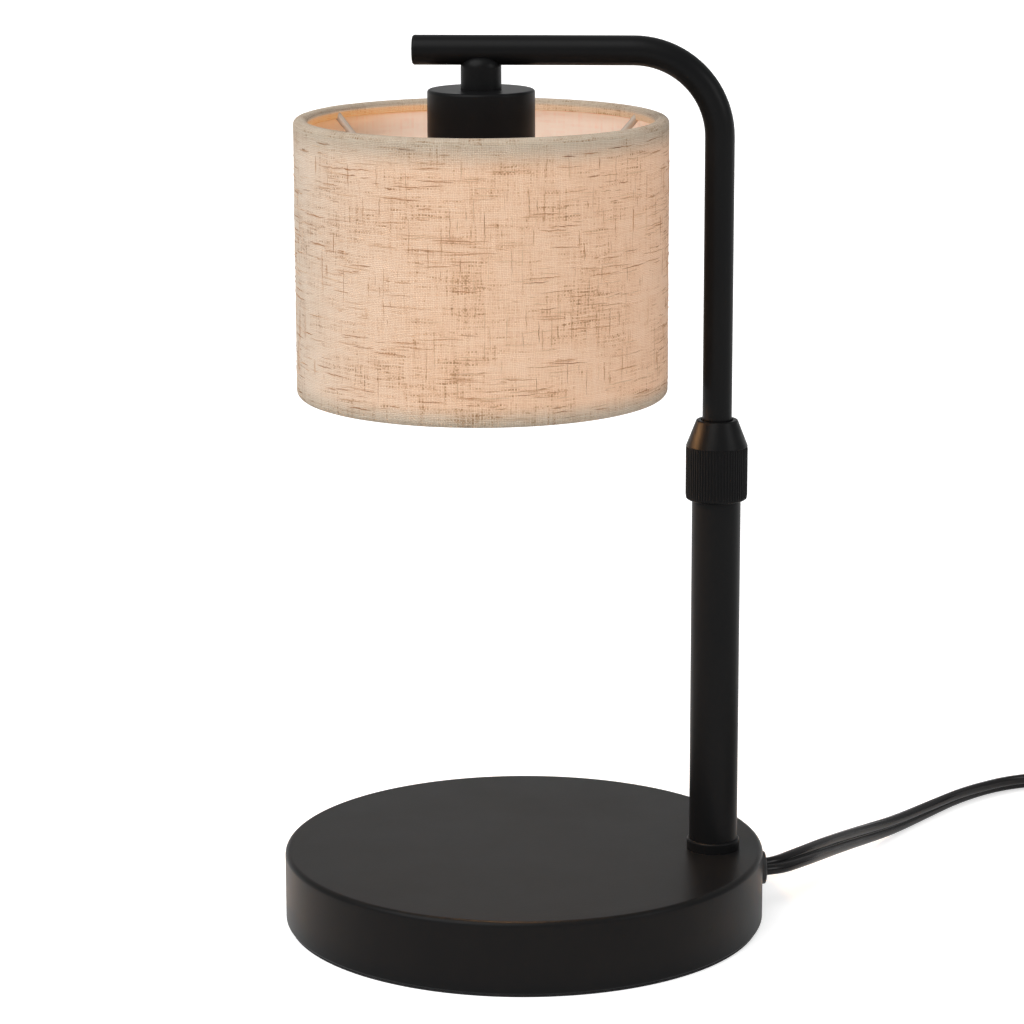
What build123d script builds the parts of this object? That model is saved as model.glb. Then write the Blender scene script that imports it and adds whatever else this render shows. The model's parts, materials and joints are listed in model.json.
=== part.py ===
"""Candle warmer lamp: weighted round base, telescoping post, bent arm, linen drum shade, GU10 spot and a flat lead.

Millimetres, +Z up. The origin is the centre of the base on the table, and +X points at the post.
"""

import os
from math import atan2, cos, pi, radians, sin, tan

from build123d import *

os.makedirs("parts", exist_ok=True)

# ---------------------------------------------------------------- driving dimensions

# clearances and fits
slip_gap = 0.05  # radial gap of a part that slides or turns in another
thread_gap = 0.1  # radial gap of a mating thread, which is drawn plain
seat_gap = 0.02  # radial gap of parts that are pressed or bonded together
cut_margin = 1.0  # how far a cutting shape reaches past what it cuts

# base
base_radius = 75.0
base_height = 23.5
base_wall = 1.0
base_edge_radius = 1.6
pad_thickness = 1.0
pad_inset = 1.0
plate_thickness = 1.5
plate_gap = 0.1
ballast_gap = 6.0  # between the ballast and the wall round it
ballast_thickness = 7.5
ballast_notch_radius = 14.0
screw_inset = 25.0
screw_count = 3
screw_first_angle = 60.0
screw_radius = 1.5
screw_head_radius = 2.75
screw_grip = 6.0
standoff_radius = 4.0

# post
post_inset = 15.7  # from the base's edge in to the middle of the post
post_radius = 7.5
post_wall = 1.2
post_length = 122.5
foot_ring_wall = 0.7
foot_ring_height = 3.3
foot_ring_edge = 0.5
plug_length = 12.0
nipple_radius = 5.0
nipple_bore_radius = 3.6
nipple_reach = 9.0
nut_height = 5.0
nut_across_flats = 14.0
washer_radius = 11.0
washer_thickness = 1.5
nipple_tail = 1.0

# clamp at the top of the post
collet_spigot_length = 12.0
collet_thread_radius = 7.1
collet_thread_length = 6.0
collet_root_radius = 6.6
collet_tip_radius = 5.5
collet_cone_height = 6.0
collet_slot_width = 0.8
collet_slot_count = 4
collar_radius = 9.5
collar_lip_radius = 6.3
collar_skirt = 10.6
collar_band_height = 16.9
collar_cone_height = 8.0
collar_bottom_edge = 1.1
collar_lip_edge = 0.6
collar_top_gap = 0.3

# sliding arm
arm_radius = 4.5
arm_wall = 0.9
arm_height = 272.5
arm_reach = 92.5
bend_radius = 26.0
height_up = 19.0  # how far the arm can still rise before its ring meets the collet
stop_gap = 0.4
bush_length = 10.0
snap_ring_thickness = 1.2
snap_ring_radius = 5.8
snap_groove_depth = 0.4
snap_ring_gap = 0.1
tube_tail = 1.5
cap_thickness = 1.2
cap_edge = 0.9
cap_spigot = 6.0

# stem and lamp holder
stem_inset = 20.7  # from the arm's tip in to the stem
stem_radius = 6.15
stem_bore_radius = 3.2
stem_shoulder = 1.6
stem_dome = 3.6
stem_spigot_radius = 5.0
stem_spigot_length = 8.3
cup_drop = 11.7  # from the middle of the arm down to the top of the cup
cup_radius = 16.25
cup_wall = 1.0
cup_length = 45.0
cup_edge = 0.9
sleeve_wall = 1.1
sleeve_roof = 1.5
sleeve_thread_radius = 13.9
sleeve_thread_length = 7.8
sleeve_thread_wall = 0.95
ledge_radius = 7.5
ledge_thickness = 3.5
ledge_drop = 24.3
holder_height = 13.0
holder_face_thickness = 3.0
pin_circle_radius = 5.0
pin_radius = 1.5
pin_head_radius = 2.5
pin_head_height = 2.5
pin_length = 6.8
pin_gap = 0.2
bulb_turn = 25.0
holder_screw_radius = 1.3
holder_screw_head_radius = 2.4
holder_screw_head_height = 1.8
holder_screw_circle = 9.6
contact_thickness = 0.7

# bulb
bulb_gap = 0.3
bulb_cap_radius = 10.4
bulb_cap_height = 14.0
bulb_cap_edge = 0.8
bulb_radius = 25.0
bulb_length = 54.0
bulb_rim_height = 3.0
bulb_glass = 1.2
bulb_neck_radius = 10.6
bulb_bulge = 3.2
capsule_radius = 4.5
capsule_length = 20.0
capsule_tip_radius = 3.6
lens_thickness = 1.5

# shade
shade_radius = 56.7
shade_drop = 47.8  # from the underside of the cup down to the shade's lower edge
shade_height = 84.4
fabric_thickness = 0.6
liner_thickness = 0.5
hem_depth = 3.6
hem_notch_gap = 0.15
hem_notch_reach = 6.5  # from the wire ring in along an arm of the spider
wire_radius = 1.2
spider_arm_radius = 1.15
spider_arm_count = 3
spider_first_angle = 30.0
fitter_radius = 19.2
fitter_thickness = 1.2
ring_nut_radius = 18.0
ring_nut_height = 5.2
ring_nut_edge = 0.8

# lead inside the lamp
core_radius = 1.3
core_offset = 2.2
slack_pitch = 12.8
core_bend_radius = 3.0
stub_radius = 2.2
block_length = 18.0
block_width = 22.0
block_height = 9.5
block_gap = 28.3  # from the terminal block to the middle of the post
block_y = 6.0
block_bore_radius = 2.4
block_bore_spacing = 12.0
block_screw_radius = 1.6
block_screw_inset = 4.5
block_screw_rise = 1.0
block_corner = 2.0
inlet_straight = 8.0
inlet_run_out = 12.0
inlet_bend_radii = [5.0, 8.0]

# lead outside the lamp
cord_radius = 3.3
bend_share = 0.45  # how much of its shorter run each bend takes up
exit_angle = 8.0
exit_height = 13.6
bushing_flange_radius = 5.2
bushing_flange_thickness = 1.6
bushing_edge = 0.5
bushing_body_radius = 4.3
bushing_barb = 0.6
bushing_barb_length = 2.5
cord_inside = 5.0
cord_straight_out = 5.5
cord_rest = [
    (87.6, 22.6, 13.3),
    (94.6, 36.8, 11.5),
    (102.4, 53.6, 8.9),
    (110.6, 70.2, 6.2),
    (119.8, 86.6, 4.0),
    (131.5, 105.6, 3.3),
    (146.5, 127.0, 3.3),
    (165.5, 143.2, 3.3),
    (192.0, 148.0, 3.3),
    (212.0, 132.0, 5.2),
    (219.0, 109.0, 5.2),
]
link_straight = 9.0
link_rest = [(245.5, 32.5, 3.6), (252.3, 24.6, 3.3)]
coil_x = 213.8
coil_y = -1.3
coil_radius = 37.0
coil_columns = 3
coil_layers = 2
coil_edge = 3.0
cord_end_points = [
    (253.7, -17.3, 9.9),
    (241.0, -46.0, 6.4),
    (230.0, -60.8, 8.0),
    (214.0, -62.5, 8.0),
]
tie_angle = 120.0
tie_width = 9.0
tie_thickness = 1.1
tie_gap = 0.15

# dimmer on the lead
dimmer_length = 62.0
dimmer_width = 26.0
dimmer_height = 17.0
dimmer_wall = 1.6
dimmer_split = 8.5
dimmer_corner = 8.0
dimmer_top_edge = 3.0
dimmer_bottom_edge = 1.0
dimmer_cord_hole = 2.4
wheel_radius = 8.0
wheel_thickness = 5.0
wheel_proud = 2.6
wheel_shaft_radius = 1.5
wheel_gap = 0.5
board_length = 40.0
board_width = 18.0
board_thickness = 1.6
pot_length = 10.0
pot_width = 6.5
dimmer_screw_radius = 1.25
dimmer_screw_head_radius = 2.4
dimmer_screw_head_height = 1.5
dimmer_screw_offset = 24.0
dimmer_boss_radius = 3.2

# plug
plug_relief_length = 20.0
plug_relief_tip_radius = 4.0
plug_relief_root_radius = 6.0
plug_body_length = 21.0
plug_body_width = 24.0
plug_body_height = 16.0
plug_shoulder_width = 14.0
plug_shoulder_length = 8.0
plug_corner = 2.0
plug_edge = 1.2
blade_width = 6.3
blade_thickness = 1.5
blade_length = 16.5
blade_spacing = 12.7

# ---------------------------------------------------------------- places worked out from them

post_x = base_radius - post_inset
ballast_radius = base_radius - base_wall - ballast_gap
screw_circle_radius = base_radius - screw_inset
shell_inside_top = base_height - base_wall
plate_top = pad_thickness + plate_thickness
ballast_top = plate_top + ballast_thickness
post_top = base_height + post_length
post_bore = post_radius - post_wall
plug_top = base_height + plug_length
nut_top = shell_inside_top - washer_thickness
nut_bottom = nut_top - nut_height
nipple_bottom = nut_bottom - nipple_tail
collet_bottom = post_top - collet_spigot_length
collet_thread_top = post_top + collet_thread_length
collet_top = collet_thread_top + collet_cone_height
collar_bottom = post_top - collar_skirt
collar_band_top = collar_bottom + collar_band_height
collar_top = collar_band_top + collar_cone_height
arm_bore = arm_radius - arm_wall
upper_ring_bottom = collet_bottom - stop_gap - height_up - snap_ring_thickness
bush_top = upper_ring_bottom - snap_ring_gap
bush_bottom = bush_top - bush_length
lower_ring_bottom = bush_bottom - snap_ring_gap - snap_ring_thickness
tube_bottom = lower_ring_bottom - tube_tail
arm_tip_x = post_x - arm_reach
shade_x = arm_tip_x + stem_inset
arm_tube_tip_x = arm_tip_x + cap_thickness
stem_top = arm_height - stem_shoulder
cup_top = arm_height - cup_drop
cup_bottom = cup_top - cup_length
cup_bore = cup_radius - cup_wall
sleeve_radius = cup_bore - seat_gap
sleeve_bore = sleeve_thread_radius - sleeve_thread_wall
sleeve_top = cup_top - cup_wall
sleeve_bottom = cup_bottom - sleeve_thread_length
ledge_bottom = cup_top - ledge_drop
ledge_top = ledge_bottom + ledge_thickness
holder_radius = sleeve_bore - thread_gap
holder_bottom = ledge_bottom - holder_height
bulb_cap_top = holder_bottom - bulb_gap
bulb_cap_bottom = bulb_cap_top - bulb_cap_height
pin_top = bulb_cap_top + pin_length
bulb_face = pin_top - bulb_length
shade_bottom = cup_bottom - shade_drop
shade_top = shade_bottom + shade_height
liner_radius = shade_radius - fabric_thickness - slip_gap
ring_circle = liner_radius - liner_thickness - slip_gap - wire_radius
ring_inset = fabric_thickness + slip_gap + wire_radius
fitter_top = cup_bottom
fitter_bottom = fitter_top - fitter_thickness
exit_direction = Vector(cos(radians(exit_angle)), sin(radians(exit_angle)), 0)
exit_point = exit_direction * base_radius + Vector(0, 0, exit_height)
block_x = post_x - block_gap - block_length
cord_inner_end = base_radius - cord_inside
cord_first_corner = base_radius + cord_straight_out
coil_half_width = coil_columns * cord_radius
coil_height = coil_layers * 2 * cord_radius


def on_post(height):
    """A drawing plane across the post axis at a height."""
    return Plane(origin=(post_x, 0, height))


def on_shade(height):
    """A drawing plane across the shade axis at a height."""
    return Plane(origin=(shade_x, 0, height))


def screw_points(height):
    """Where the base screws stand, at a height."""
    turns = [radians(screw_first_angle + n * 360 / screw_count) for n in range(screw_count)]
    return [(screw_circle_radius * cos(t), screw_circle_radius * sin(t), height) for t in turns]


def tangent_radii(points):
    """The radius of each bend of a lead, from the shorter of its two runs and the turn between them."""
    radii = []
    for before, corner, after in zip(points, points[1:], points[2:]):
        run_in = Vector(corner) - Vector(before)
        run_out = Vector(after) - Vector(corner)
        turn = radians(run_in.get_angle(run_out))
        radii.append(bend_share * min(run_in.length, run_out.length) / tan(turn / 2))
    return radii


# ---------------------------------------------------------------- base

upright = (Align.CENTER, Align.CENTER, Align.MIN)

with BuildPart() as foot_pad:
    with BuildSketch():
        Circle(base_radius - pad_inset)
    extrude(amount=pad_thickness)
foot_pad.part.label = "foot_pad"
export_step(foot_pad.part, "parts/foot_pad.step")

screw_cone_height = screw_head_radius - screw_radius

with BuildPart() as bottom_plate:
    with BuildSketch(Plane.XY.offset(pad_thickness)):
        Circle(base_radius - base_wall - plate_gap)
    extrude(amount=plate_thickness)
    with Locations(*screw_points(pad_thickness)):
        Cone(
            screw_head_radius + slip_gap,
            screw_radius + slip_gap,
            screw_cone_height,
            align=upright,
            mode=Mode.SUBTRACT,
        )
        Cylinder(screw_radius + slip_gap, plate_thickness, align=upright, mode=Mode.SUBTRACT)
bottom_plate.part.label = "bottom_plate"
export_step(bottom_plate.part, "parts/bottom_plate.step")

with BuildPart() as bottom_screws:
    with Locations(*screw_points(pad_thickness)):
        Cone(screw_head_radius, screw_radius, screw_cone_height, align=upright)
        Cylinder(screw_radius, ballast_top - pad_thickness + screw_grip, align=upright)
bottom_screws.part.label = "bottom_screws"
export_step(bottom_screws.part, "parts/bottom_screws.step")

with BuildPart() as ballast_disc:
    with BuildSketch(Plane.XY.offset(plate_top)):
        Circle(ballast_radius)
        with Locations((post_x, 0)):
            Circle(ballast_notch_radius, mode=Mode.SUBTRACT)
        with Locations(*screw_points(0)):
            Circle(screw_radius + slip_gap, mode=Mode.SUBTRACT)
    extrude(amount=ballast_thickness)
ballast_disc.part.label = "ballast_disc"
export_step(ballast_disc.part, "parts/ballast_disc.step")

with BuildPart() as base_standoffs:
    with BuildSketch(Plane.XY.offset(ballast_top)):
        with Locations(*screw_points(0)):
            Circle(standoff_radius)
            Circle(screw_radius + slip_gap, mode=Mode.SUBTRACT)
    extrude(amount=shell_inside_top - ballast_top)
base_standoffs.part.label = "base_standoffs"
export_step(base_standoffs.part, "parts/base_standoffs.step")

bushing_plane = Plane(origin=exit_point, z_dir=exit_direction)

with BuildPart() as base_shell:
    with BuildSketch(Plane.XY.offset(pad_thickness)):
        Circle(base_radius)
    extrude(amount=base_height - pad_thickness)
    fillet(base_shell.edges().group_by(Axis.Z)[-1], base_edge_radius)
    with BuildSketch(Plane.XY.offset(pad_thickness)):
        Circle(base_radius - base_wall)
    extrude(amount=shell_inside_top - pad_thickness, mode=Mode.SUBTRACT)
    with BuildSketch(on_post(shell_inside_top)):
        Circle(nipple_radius + thread_gap)
    extrude(amount=base_wall, mode=Mode.SUBTRACT)
    with BuildSketch(bushing_plane):
        Circle(bushing_body_radius + slip_gap)
    extrude(amount=2 * base_wall, both=True, mode=Mode.SUBTRACT)
base_shell.part.label = "base_shell"
export_step(base_shell.part, "parts/base_shell.step")

# the barb snaps in behind the wall, which curves away from the bushing's flat shoulder
barb_start = base_wall + bushing_body_radius**2 / base_radius

with BuildPart() as cord_bushing:
    with BuildSketch(bushing_plane):
        Circle(bushing_flange_radius)
    extrude(amount=bushing_flange_thickness)
    fillet(cord_bushing.faces().sort_by(Axis(tuple(exit_point), tuple(exit_direction)))[-1].edges(), bushing_edge)
    with BuildSketch(bushing_plane):
        Circle(bushing_body_radius)
    extrude(amount=-barb_start - bushing_barb_length)
    with BuildSketch(bushing_plane.offset(-barb_start)):
        Circle(bushing_body_radius + bushing_barb)
    extrude(amount=-bushing_barb_length)
    with BuildSketch(bushing_plane):
        Circle(cord_radius + slip_gap)
    extrude(amount=2 * (barb_start + bushing_barb_length), both=True, mode=Mode.SUBTRACT)
cord_bushing.part.label = "cord_bushing"
export_step(cord_bushing.part, "parts/cord_bushing.step")

# ---------------------------------------------------------------- post

with BuildPart() as post_foot_ring:
    with BuildSketch(on_post(base_height)):
        Circle(post_radius + seat_gap + foot_ring_wall)
        Circle(post_radius + seat_gap, mode=Mode.SUBTRACT)
    extrude(amount=foot_ring_height)
    fillet(post_foot_ring.edges().group_by(Axis.Z)[-1].sort_by(SortBy.RADIUS)[-1], foot_ring_edge)
post_foot_ring.part.label = "post_foot_ring"
export_step(post_foot_ring.part, "parts/post_foot_ring.step")

with BuildPart() as lower_tube:
    with BuildSketch(on_post(base_height)):
        Circle(post_radius)
        Circle(post_bore, mode=Mode.SUBTRACT)
    extrude(amount=post_length)
lower_tube.part.label = "lower_tube"
export_step(lower_tube.part, "parts/lower_tube.step")

with BuildPart() as post_plug:
    with BuildSketch(on_post(base_height)):
        Circle(post_bore - seat_gap)
        Circle(nipple_radius + thread_gap, mode=Mode.SUBTRACT)
    extrude(amount=plug_length)
post_plug.part.label = "post_plug"
export_step(post_plug.part, "parts/post_plug.step")

with BuildPart() as post_nipple:
    with BuildSketch(on_post(nipple_bottom)):
        Circle(nipple_radius)
        Circle(nipple_bore_radius, mode=Mode.SUBTRACT)
    extrude(amount=base_height + nipple_reach - nipple_bottom)
post_nipple.part.label = "post_nipple"
export_step(post_nipple.part, "parts/post_nipple.step")

with BuildPart() as post_washer:
    with BuildSketch(on_post(nut_top)):
        Circle(washer_radius)
        Circle(nipple_radius + thread_gap, mode=Mode.SUBTRACT)
    extrude(amount=washer_thickness)
post_washer.part.label = "post_washer"
export_step(post_washer.part, "parts/post_washer.step")

with BuildPart() as post_nut:
    with BuildSketch(on_post(nut_bottom)):
        RegularPolygon(nut_across_flats / 2, 6, major_radius=False)
        Circle(nipple_radius + thread_gap, mode=Mode.SUBTRACT)
    extrude(amount=nut_height)
post_nut.part.label = "post_nut"
export_step(post_nut.part, "parts/post_nut.step")

# ---------------------------------------------------------------- clamp

collet_bore = arm_radius + slip_gap

with BuildPart() as collet:
    with BuildSketch(Plane(origin=(post_x, 0, 0), x_dir=(1, 0, 0), z_dir=(0, -1, 0))):
        with BuildLine():
            Polyline(
                (collet_bore, collet_bottom),
                (post_bore - seat_gap, collet_bottom),
                (post_bore - seat_gap, post_top),
                (collet_thread_radius, post_top),
                (collet_thread_radius, collet_thread_top),
                (collet_root_radius, collet_thread_top),
                (collet_tip_radius, collet_top),
                (collet_bore, collet_top),
                close=True,
            )
        make_face()
    revolve(axis=Axis((post_x, 0, 0), (0, 0, 1)))
    for n in range(collet_slot_count):
        slot_turn = (n + 0.5) * 360 / collet_slot_count
        with BuildSketch(on_post(post_top).rotated((0, 0, slot_turn))):
            with Locations((collet_thread_radius, 0)):
                Rectangle(2 * collet_thread_radius, collet_slot_width)
        extrude(amount=collet_top - post_top, mode=Mode.SUBTRACT)
collet.part.label = "collet"
export_step(collet.part, "parts/collet.step")

with BuildPart() as clamp_collar:
    with BuildSketch(Plane(origin=(post_x, 0, 0), x_dir=(1, 0, 0), z_dir=(0, -1, 0))):
        with BuildLine():
            Polyline(
                (post_radius + thread_gap, collar_bottom),
                (collar_radius, collar_bottom),
                (collar_radius, collar_band_top),
                (collar_lip_radius, collar_top),
                (collet_bore + collar_top_gap, collar_top),
                (collet_bore + collar_top_gap, collet_top + thread_gap),
                (collet_tip_radius + thread_gap, collet_top + thread_gap),
                (collet_root_radius + thread_gap, collet_thread_top + thread_gap),
                (collet_thread_radius + thread_gap, collet_thread_top + thread_gap),
                (collet_thread_radius + thread_gap, post_top + thread_gap),
                (post_radius + thread_gap, post_top + thread_gap),
                close=True,
            )
        make_face()
    revolve(axis=Axis((post_x, 0, 0), (0, 0, 1)))
    bottom_rim = clamp_collar.edges().filter_by(GeomType.CIRCLE).group_by(Axis.Z)[0].sort_by(SortBy.RADIUS)[-1]
    fillet(bottom_rim, collar_bottom_edge)
    top_rim = clamp_collar.edges().filter_by(GeomType.CIRCLE).group_by(Axis.Z)[-1].sort_by(SortBy.RADIUS)[-1]
    fillet(top_rim, collar_lip_edge)
clamp_collar.part.label = "clamp_collar"
export_step(clamp_collar.part, "parts/clamp_collar.step")

# ---------------------------------------------------------------- sliding bush

groove_radius = arm_radius - snap_groove_depth

with BuildPart() as guide_bush:
    with BuildSketch(on_post(bush_bottom)):
        Circle(post_bore - slip_gap)
        Circle(arm_radius + slip_gap, mode=Mode.SUBTRACT)
    extrude(amount=bush_length)
guide_bush.part.label = "guide_bush"
export_step(guide_bush.part, "parts/guide_bush.step")

with BuildPart() as snap_rings:
    for ring_bottom in (lower_ring_bottom, upper_ring_bottom):
        with BuildSketch(on_post(ring_bottom)):
            Circle(snap_ring_radius)
            Circle(groove_radius + seat_gap, mode=Mode.SUBTRACT)
        extrude(amount=snap_ring_thickness)
snap_rings.part.label = "snap_rings"
export_step(snap_rings.part, "parts/snap_rings.step")

# ---------------------------------------------------------------- arm

with BuildPart() as arm_tube:
    with BuildLine() as arm_line:
        FilletPolyline(
            (post_x, 0, tube_bottom),
            (post_x, 0, arm_height),
            (arm_tube_tip_x, 0, arm_height),
            radius=bend_radius,
        )
    with BuildSketch(on_post(tube_bottom)):
        Circle(arm_radius)
        Circle(arm_bore, mode=Mode.SUBTRACT)
    sweep(path=arm_line.line)
    with BuildSketch(on_shade(arm_height)):
        Circle(stem_bore_radius)
    extrude(amount=-arm_radius - cut_margin, mode=Mode.SUBTRACT)
    for ring_bottom in (lower_ring_bottom, upper_ring_bottom):
        with BuildSketch(on_post(ring_bottom - seat_gap)):
            Circle(arm_radius + cut_margin)
            Circle(groove_radius, mode=Mode.SUBTRACT)
        extrude(amount=snap_ring_thickness + 2 * seat_gap, mode=Mode.SUBTRACT)
arm_tube.part.label = "arm_tube"
export_step(arm_tube.part, "parts/arm_tube.step")

with BuildPart() as arm_end_cap:
    with BuildSketch(Plane(origin=(arm_tip_x, 0, arm_height), z_dir=(1, 0, 0))):
        Circle(arm_radius)
    extrude(amount=cap_thickness)
    fillet(arm_end_cap.edges().group_by(Axis.X)[0], cap_edge)
    with BuildSketch(Plane(origin=(arm_tube_tip_x, 0, arm_height), z_dir=(1, 0, 0))):
        Circle(arm_bore - seat_gap)
    extrude(amount=cap_spigot)
arm_end_cap.part.label = "arm_end_cap"
export_step(arm_end_cap.part, "parts/arm_end_cap.step")

# ---------------------------------------------------------------- stem, cup and lamp holder

with BuildPart() as socket_stem:
    with BuildSketch(on_shade(cup_top)):
        Circle(stem_radius)
    extrude(amount=stem_top - cup_top)
    fillet(socket_stem.edges().group_by(Axis.Z)[-1], stem_dome)
    with BuildSketch(on_shade(cup_top)):
        Circle(stem_spigot_radius)
    extrude(amount=-stem_spigot_length)
    with BuildSketch(on_shade(cup_top - stem_spigot_length)):
        Circle(stem_bore_radius)
    extrude(amount=stem_top - cup_top + stem_spigot_length, mode=Mode.SUBTRACT)
    with BuildSketch(Plane(origin=(shade_x, 0, arm_height), z_dir=(1, 0, 0))):
        Circle(arm_radius + seat_gap)
    extrude(amount=stem_radius + cut_margin, both=True, mode=Mode.SUBTRACT)
socket_stem.part.label = "socket_stem"
export_step(socket_stem.part, "parts/socket_stem.step")

with BuildPart() as socket_cup:
    with BuildSketch(on_shade(cup_bottom)):
        Circle(cup_radius)
    extrude(amount=cup_length)
    fillet(socket_cup.edges().group_by(Axis.Z)[-1], cup_edge)
    with BuildSketch(on_shade(cup_bottom)):
        Circle(cup_bore)
    extrude(amount=cup_length - cup_wall, mode=Mode.SUBTRACT)
    with BuildSketch(on_shade(cup_bottom)):
        Circle(stem_spigot_radius + thread_gap)
    extrude(amount=cup_length, mode=Mode.SUBTRACT)
socket_cup.part.label = "socket_cup"
export_step(socket_cup.part, "parts/socket_cup.step")

with BuildPart() as stem_nut:
    with BuildSketch(on_shade(sleeve_top - sleeve_roof - nut_height)):
        RegularPolygon(nut_across_flats / 2, 6, major_radius=False)
        Circle(stem_spigot_radius + thread_gap, mode=Mode.SUBTRACT)
    extrude(amount=nut_height)
stem_nut.part.label = "stem_nut"
export_step(stem_nut.part, "parts/stem_nut.step")

holder_screw_points = [(0, holder_screw_circle), (0, -holder_screw_circle)]

with BuildPart() as holder_sleeve:
    with BuildSketch(on_shade(cup_bottom)):
        Circle(sleeve_radius)
    extrude(amount=sleeve_top - cup_bottom)
    with BuildSketch(on_shade(sleeve_bottom)):
        Circle(sleeve_thread_radius)
    extrude(amount=sleeve_thread_length)
    with BuildSketch(on_shade(sleeve_bottom)):
        Circle(sleeve_bore)
    extrude(amount=ledge_bottom - sleeve_bottom, mode=Mode.SUBTRACT)
    with BuildSketch(on_shade(ledge_bottom)):
        Circle(ledge_radius)
    extrude(amount=ledge_thickness, mode=Mode.SUBTRACT)
    with BuildSketch(on_shade(ledge_top)):
        Circle(sleeve_radius - sleeve_wall)
    extrude(amount=sleeve_top - sleeve_roof - ledge_top, mode=Mode.SUBTRACT)
    with BuildSketch(on_shade(ledge_top)):
        Circle(stem_spigot_radius + thread_gap)
    extrude(amount=sleeve_top - ledge_top, mode=Mode.SUBTRACT)
    with BuildSketch(on_shade(ledge_bottom)):
        with Locations(*holder_screw_points):
            Circle(holder_screw_radius + slip_gap)
    extrude(amount=ledge_thickness, mode=Mode.SUBTRACT)
holder_sleeve.part.label = "holder_sleeve"
export_step(holder_sleeve.part, "parts/holder_sleeve.step")

# the pins of the bulb travel along this arc as it is twisted in and out
pin_arc = CenterArc((0, 0), pin_circle_radius, -bulb_turn, bulb_turn)
pin_entry = (pin_circle_radius * cos(radians(bulb_turn)), -pin_circle_radius * sin(radians(bulb_turn)))
chamber_bottom = holder_bottom + holder_face_thickness
chamber_height = pin_length - bulb_gap - holder_face_thickness + contact_thickness + 2 * pin_gap

with BuildPart() as lamp_holder:
    with BuildSketch(on_shade(holder_bottom)):
        Circle(holder_radius)
        with Locations(*holder_screw_points):
            Circle(holder_screw_radius + slip_gap, mode=Mode.SUBTRACT)
    extrude(amount=holder_height)
    with BuildSketch(on_shade(holder_bottom)):
        with Locations(*holder_screw_points):
            Circle(holder_screw_head_radius + thread_gap)
    extrude(amount=holder_screw_head_height, mode=Mode.SUBTRACT)
    # each pin's slot is an arc that ends in the round hole where its head goes in
    for side in (0, 180):
        slot_plane = on_shade(holder_bottom).rotated((0, 0, side))
        with BuildSketch(slot_plane):
            SlotArc(pin_arc, 2 * (pin_radius + pin_gap))
            with Locations(pin_entry):
                Circle(pin_head_radius + pin_gap)
        extrude(amount=holder_face_thickness, mode=Mode.SUBTRACT)
        with BuildSketch(slot_plane.offset(holder_face_thickness)):
            SlotArc(pin_arc, 2 * (pin_head_radius + pin_gap))
        extrude(amount=chamber_height, mode=Mode.SUBTRACT)
lamp_holder.part.label = "lamp_holder"
export_step(lamp_holder.part, "parts/lamp_holder.step")

with BuildPart() as holder_screws:
    with BuildSketch(on_shade(holder_bottom)):
        with Locations(*holder_screw_points):
            Circle(holder_screw_head_radius)
    extrude(amount=holder_screw_head_height)
    with BuildSketch(on_shade(holder_bottom + holder_screw_head_height)):
        with Locations(*holder_screw_points):
            Circle(holder_screw_radius)
    extrude(amount=ledge_top - holder_bottom - holder_screw_head_height)
holder_screws.part.label = "holder_screws"
export_step(holder_screws.part, "parts/holder_screws.step")

with BuildPart() as holder_contacts:
    for side in (0, 180):
        contact_plane = on_shade(chamber_bottom + chamber_height - contact_thickness).rotated((0, 0, side))
        with BuildSketch(contact_plane):
            SlotArc(pin_arc, 2 * pin_head_radius)
        extrude(amount=contact_thickness)
holder_contacts.part.label = "holder_contacts"
export_step(holder_contacts.part, "parts/holder_contacts.step")

# ---------------------------------------------------------------- bulb

with BuildPart() as bulb_cap:
    with BuildSketch(on_shade(bulb_cap_bottom)):
        Circle(bulb_cap_radius)
    extrude(amount=bulb_cap_height)
    fillet(bulb_cap.edges().group_by(Axis.Z)[-1], bulb_cap_edge)
bulb_cap.part.label = "bulb_cap"
export_step(bulb_cap.part, "parts/bulb_cap.step")

with BuildPart() as bulb_pins:
    with BuildSketch(on_shade(bulb_cap_top)):
        with PolarLocations(pin_circle_radius, 2):
            Circle(pin_radius)
    extrude(amount=pin_length)
    with BuildSketch(on_shade(pin_top - pin_head_height)):
        with PolarLocations(pin_circle_radius, 2):
            Circle(pin_head_radius)
    extrude(amount=pin_head_height)
bulb_pins.part.label = "bulb_pins"
export_step(bulb_pins.part, "parts/bulb_pins.step")

rim_top = bulb_face + bulb_rim_height
bulge_x = (bulb_neck_radius + bulb_radius) / 2 + bulb_bulge
bulge_z = (bulb_cap_bottom + rim_top) / 2 + bulb_bulge
bulge_inset = bulb_glass * cos(radians(45))  # the glass is as thick on its slanted middle

with BuildPart() as bulb_reflector:
    with BuildSketch(Plane(origin=(shade_x, 0, 0), x_dir=(1, 0, 0), z_dir=(0, -1, 0))):
        with BuildLine():
            Line((capsule_radius, bulb_cap_bottom), (bulb_neck_radius, bulb_cap_bottom))
            ThreePointArc((bulb_neck_radius, bulb_cap_bottom), (bulge_x, bulge_z), (bulb_radius, rim_top))
            Polyline(
                (bulb_radius, rim_top),
                (bulb_radius, bulb_face),
                (bulb_radius - bulb_glass, bulb_face),
                (bulb_radius - bulb_glass, rim_top),
            )
            ThreePointArc(
                (bulb_radius - bulb_glass, rim_top),
                (bulge_x - bulge_inset, bulge_z - bulge_inset),
                (bulb_neck_radius - bulb_glass, bulb_cap_bottom - bulb_glass),
            )
            Line(
                (bulb_neck_radius - bulb_glass, bulb_cap_bottom - bulb_glass),
                (capsule_radius, bulb_cap_bottom - bulb_glass),
            )
            Line((capsule_radius, bulb_cap_bottom - bulb_glass), (capsule_radius, bulb_cap_bottom))
        make_face()
    revolve(axis=Axis((shade_x, 0, 0), (0, 0, 1)))
bulb_reflector.part.label = "bulb_reflector"
export_step(bulb_reflector.part, "parts/bulb_reflector.step")

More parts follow.
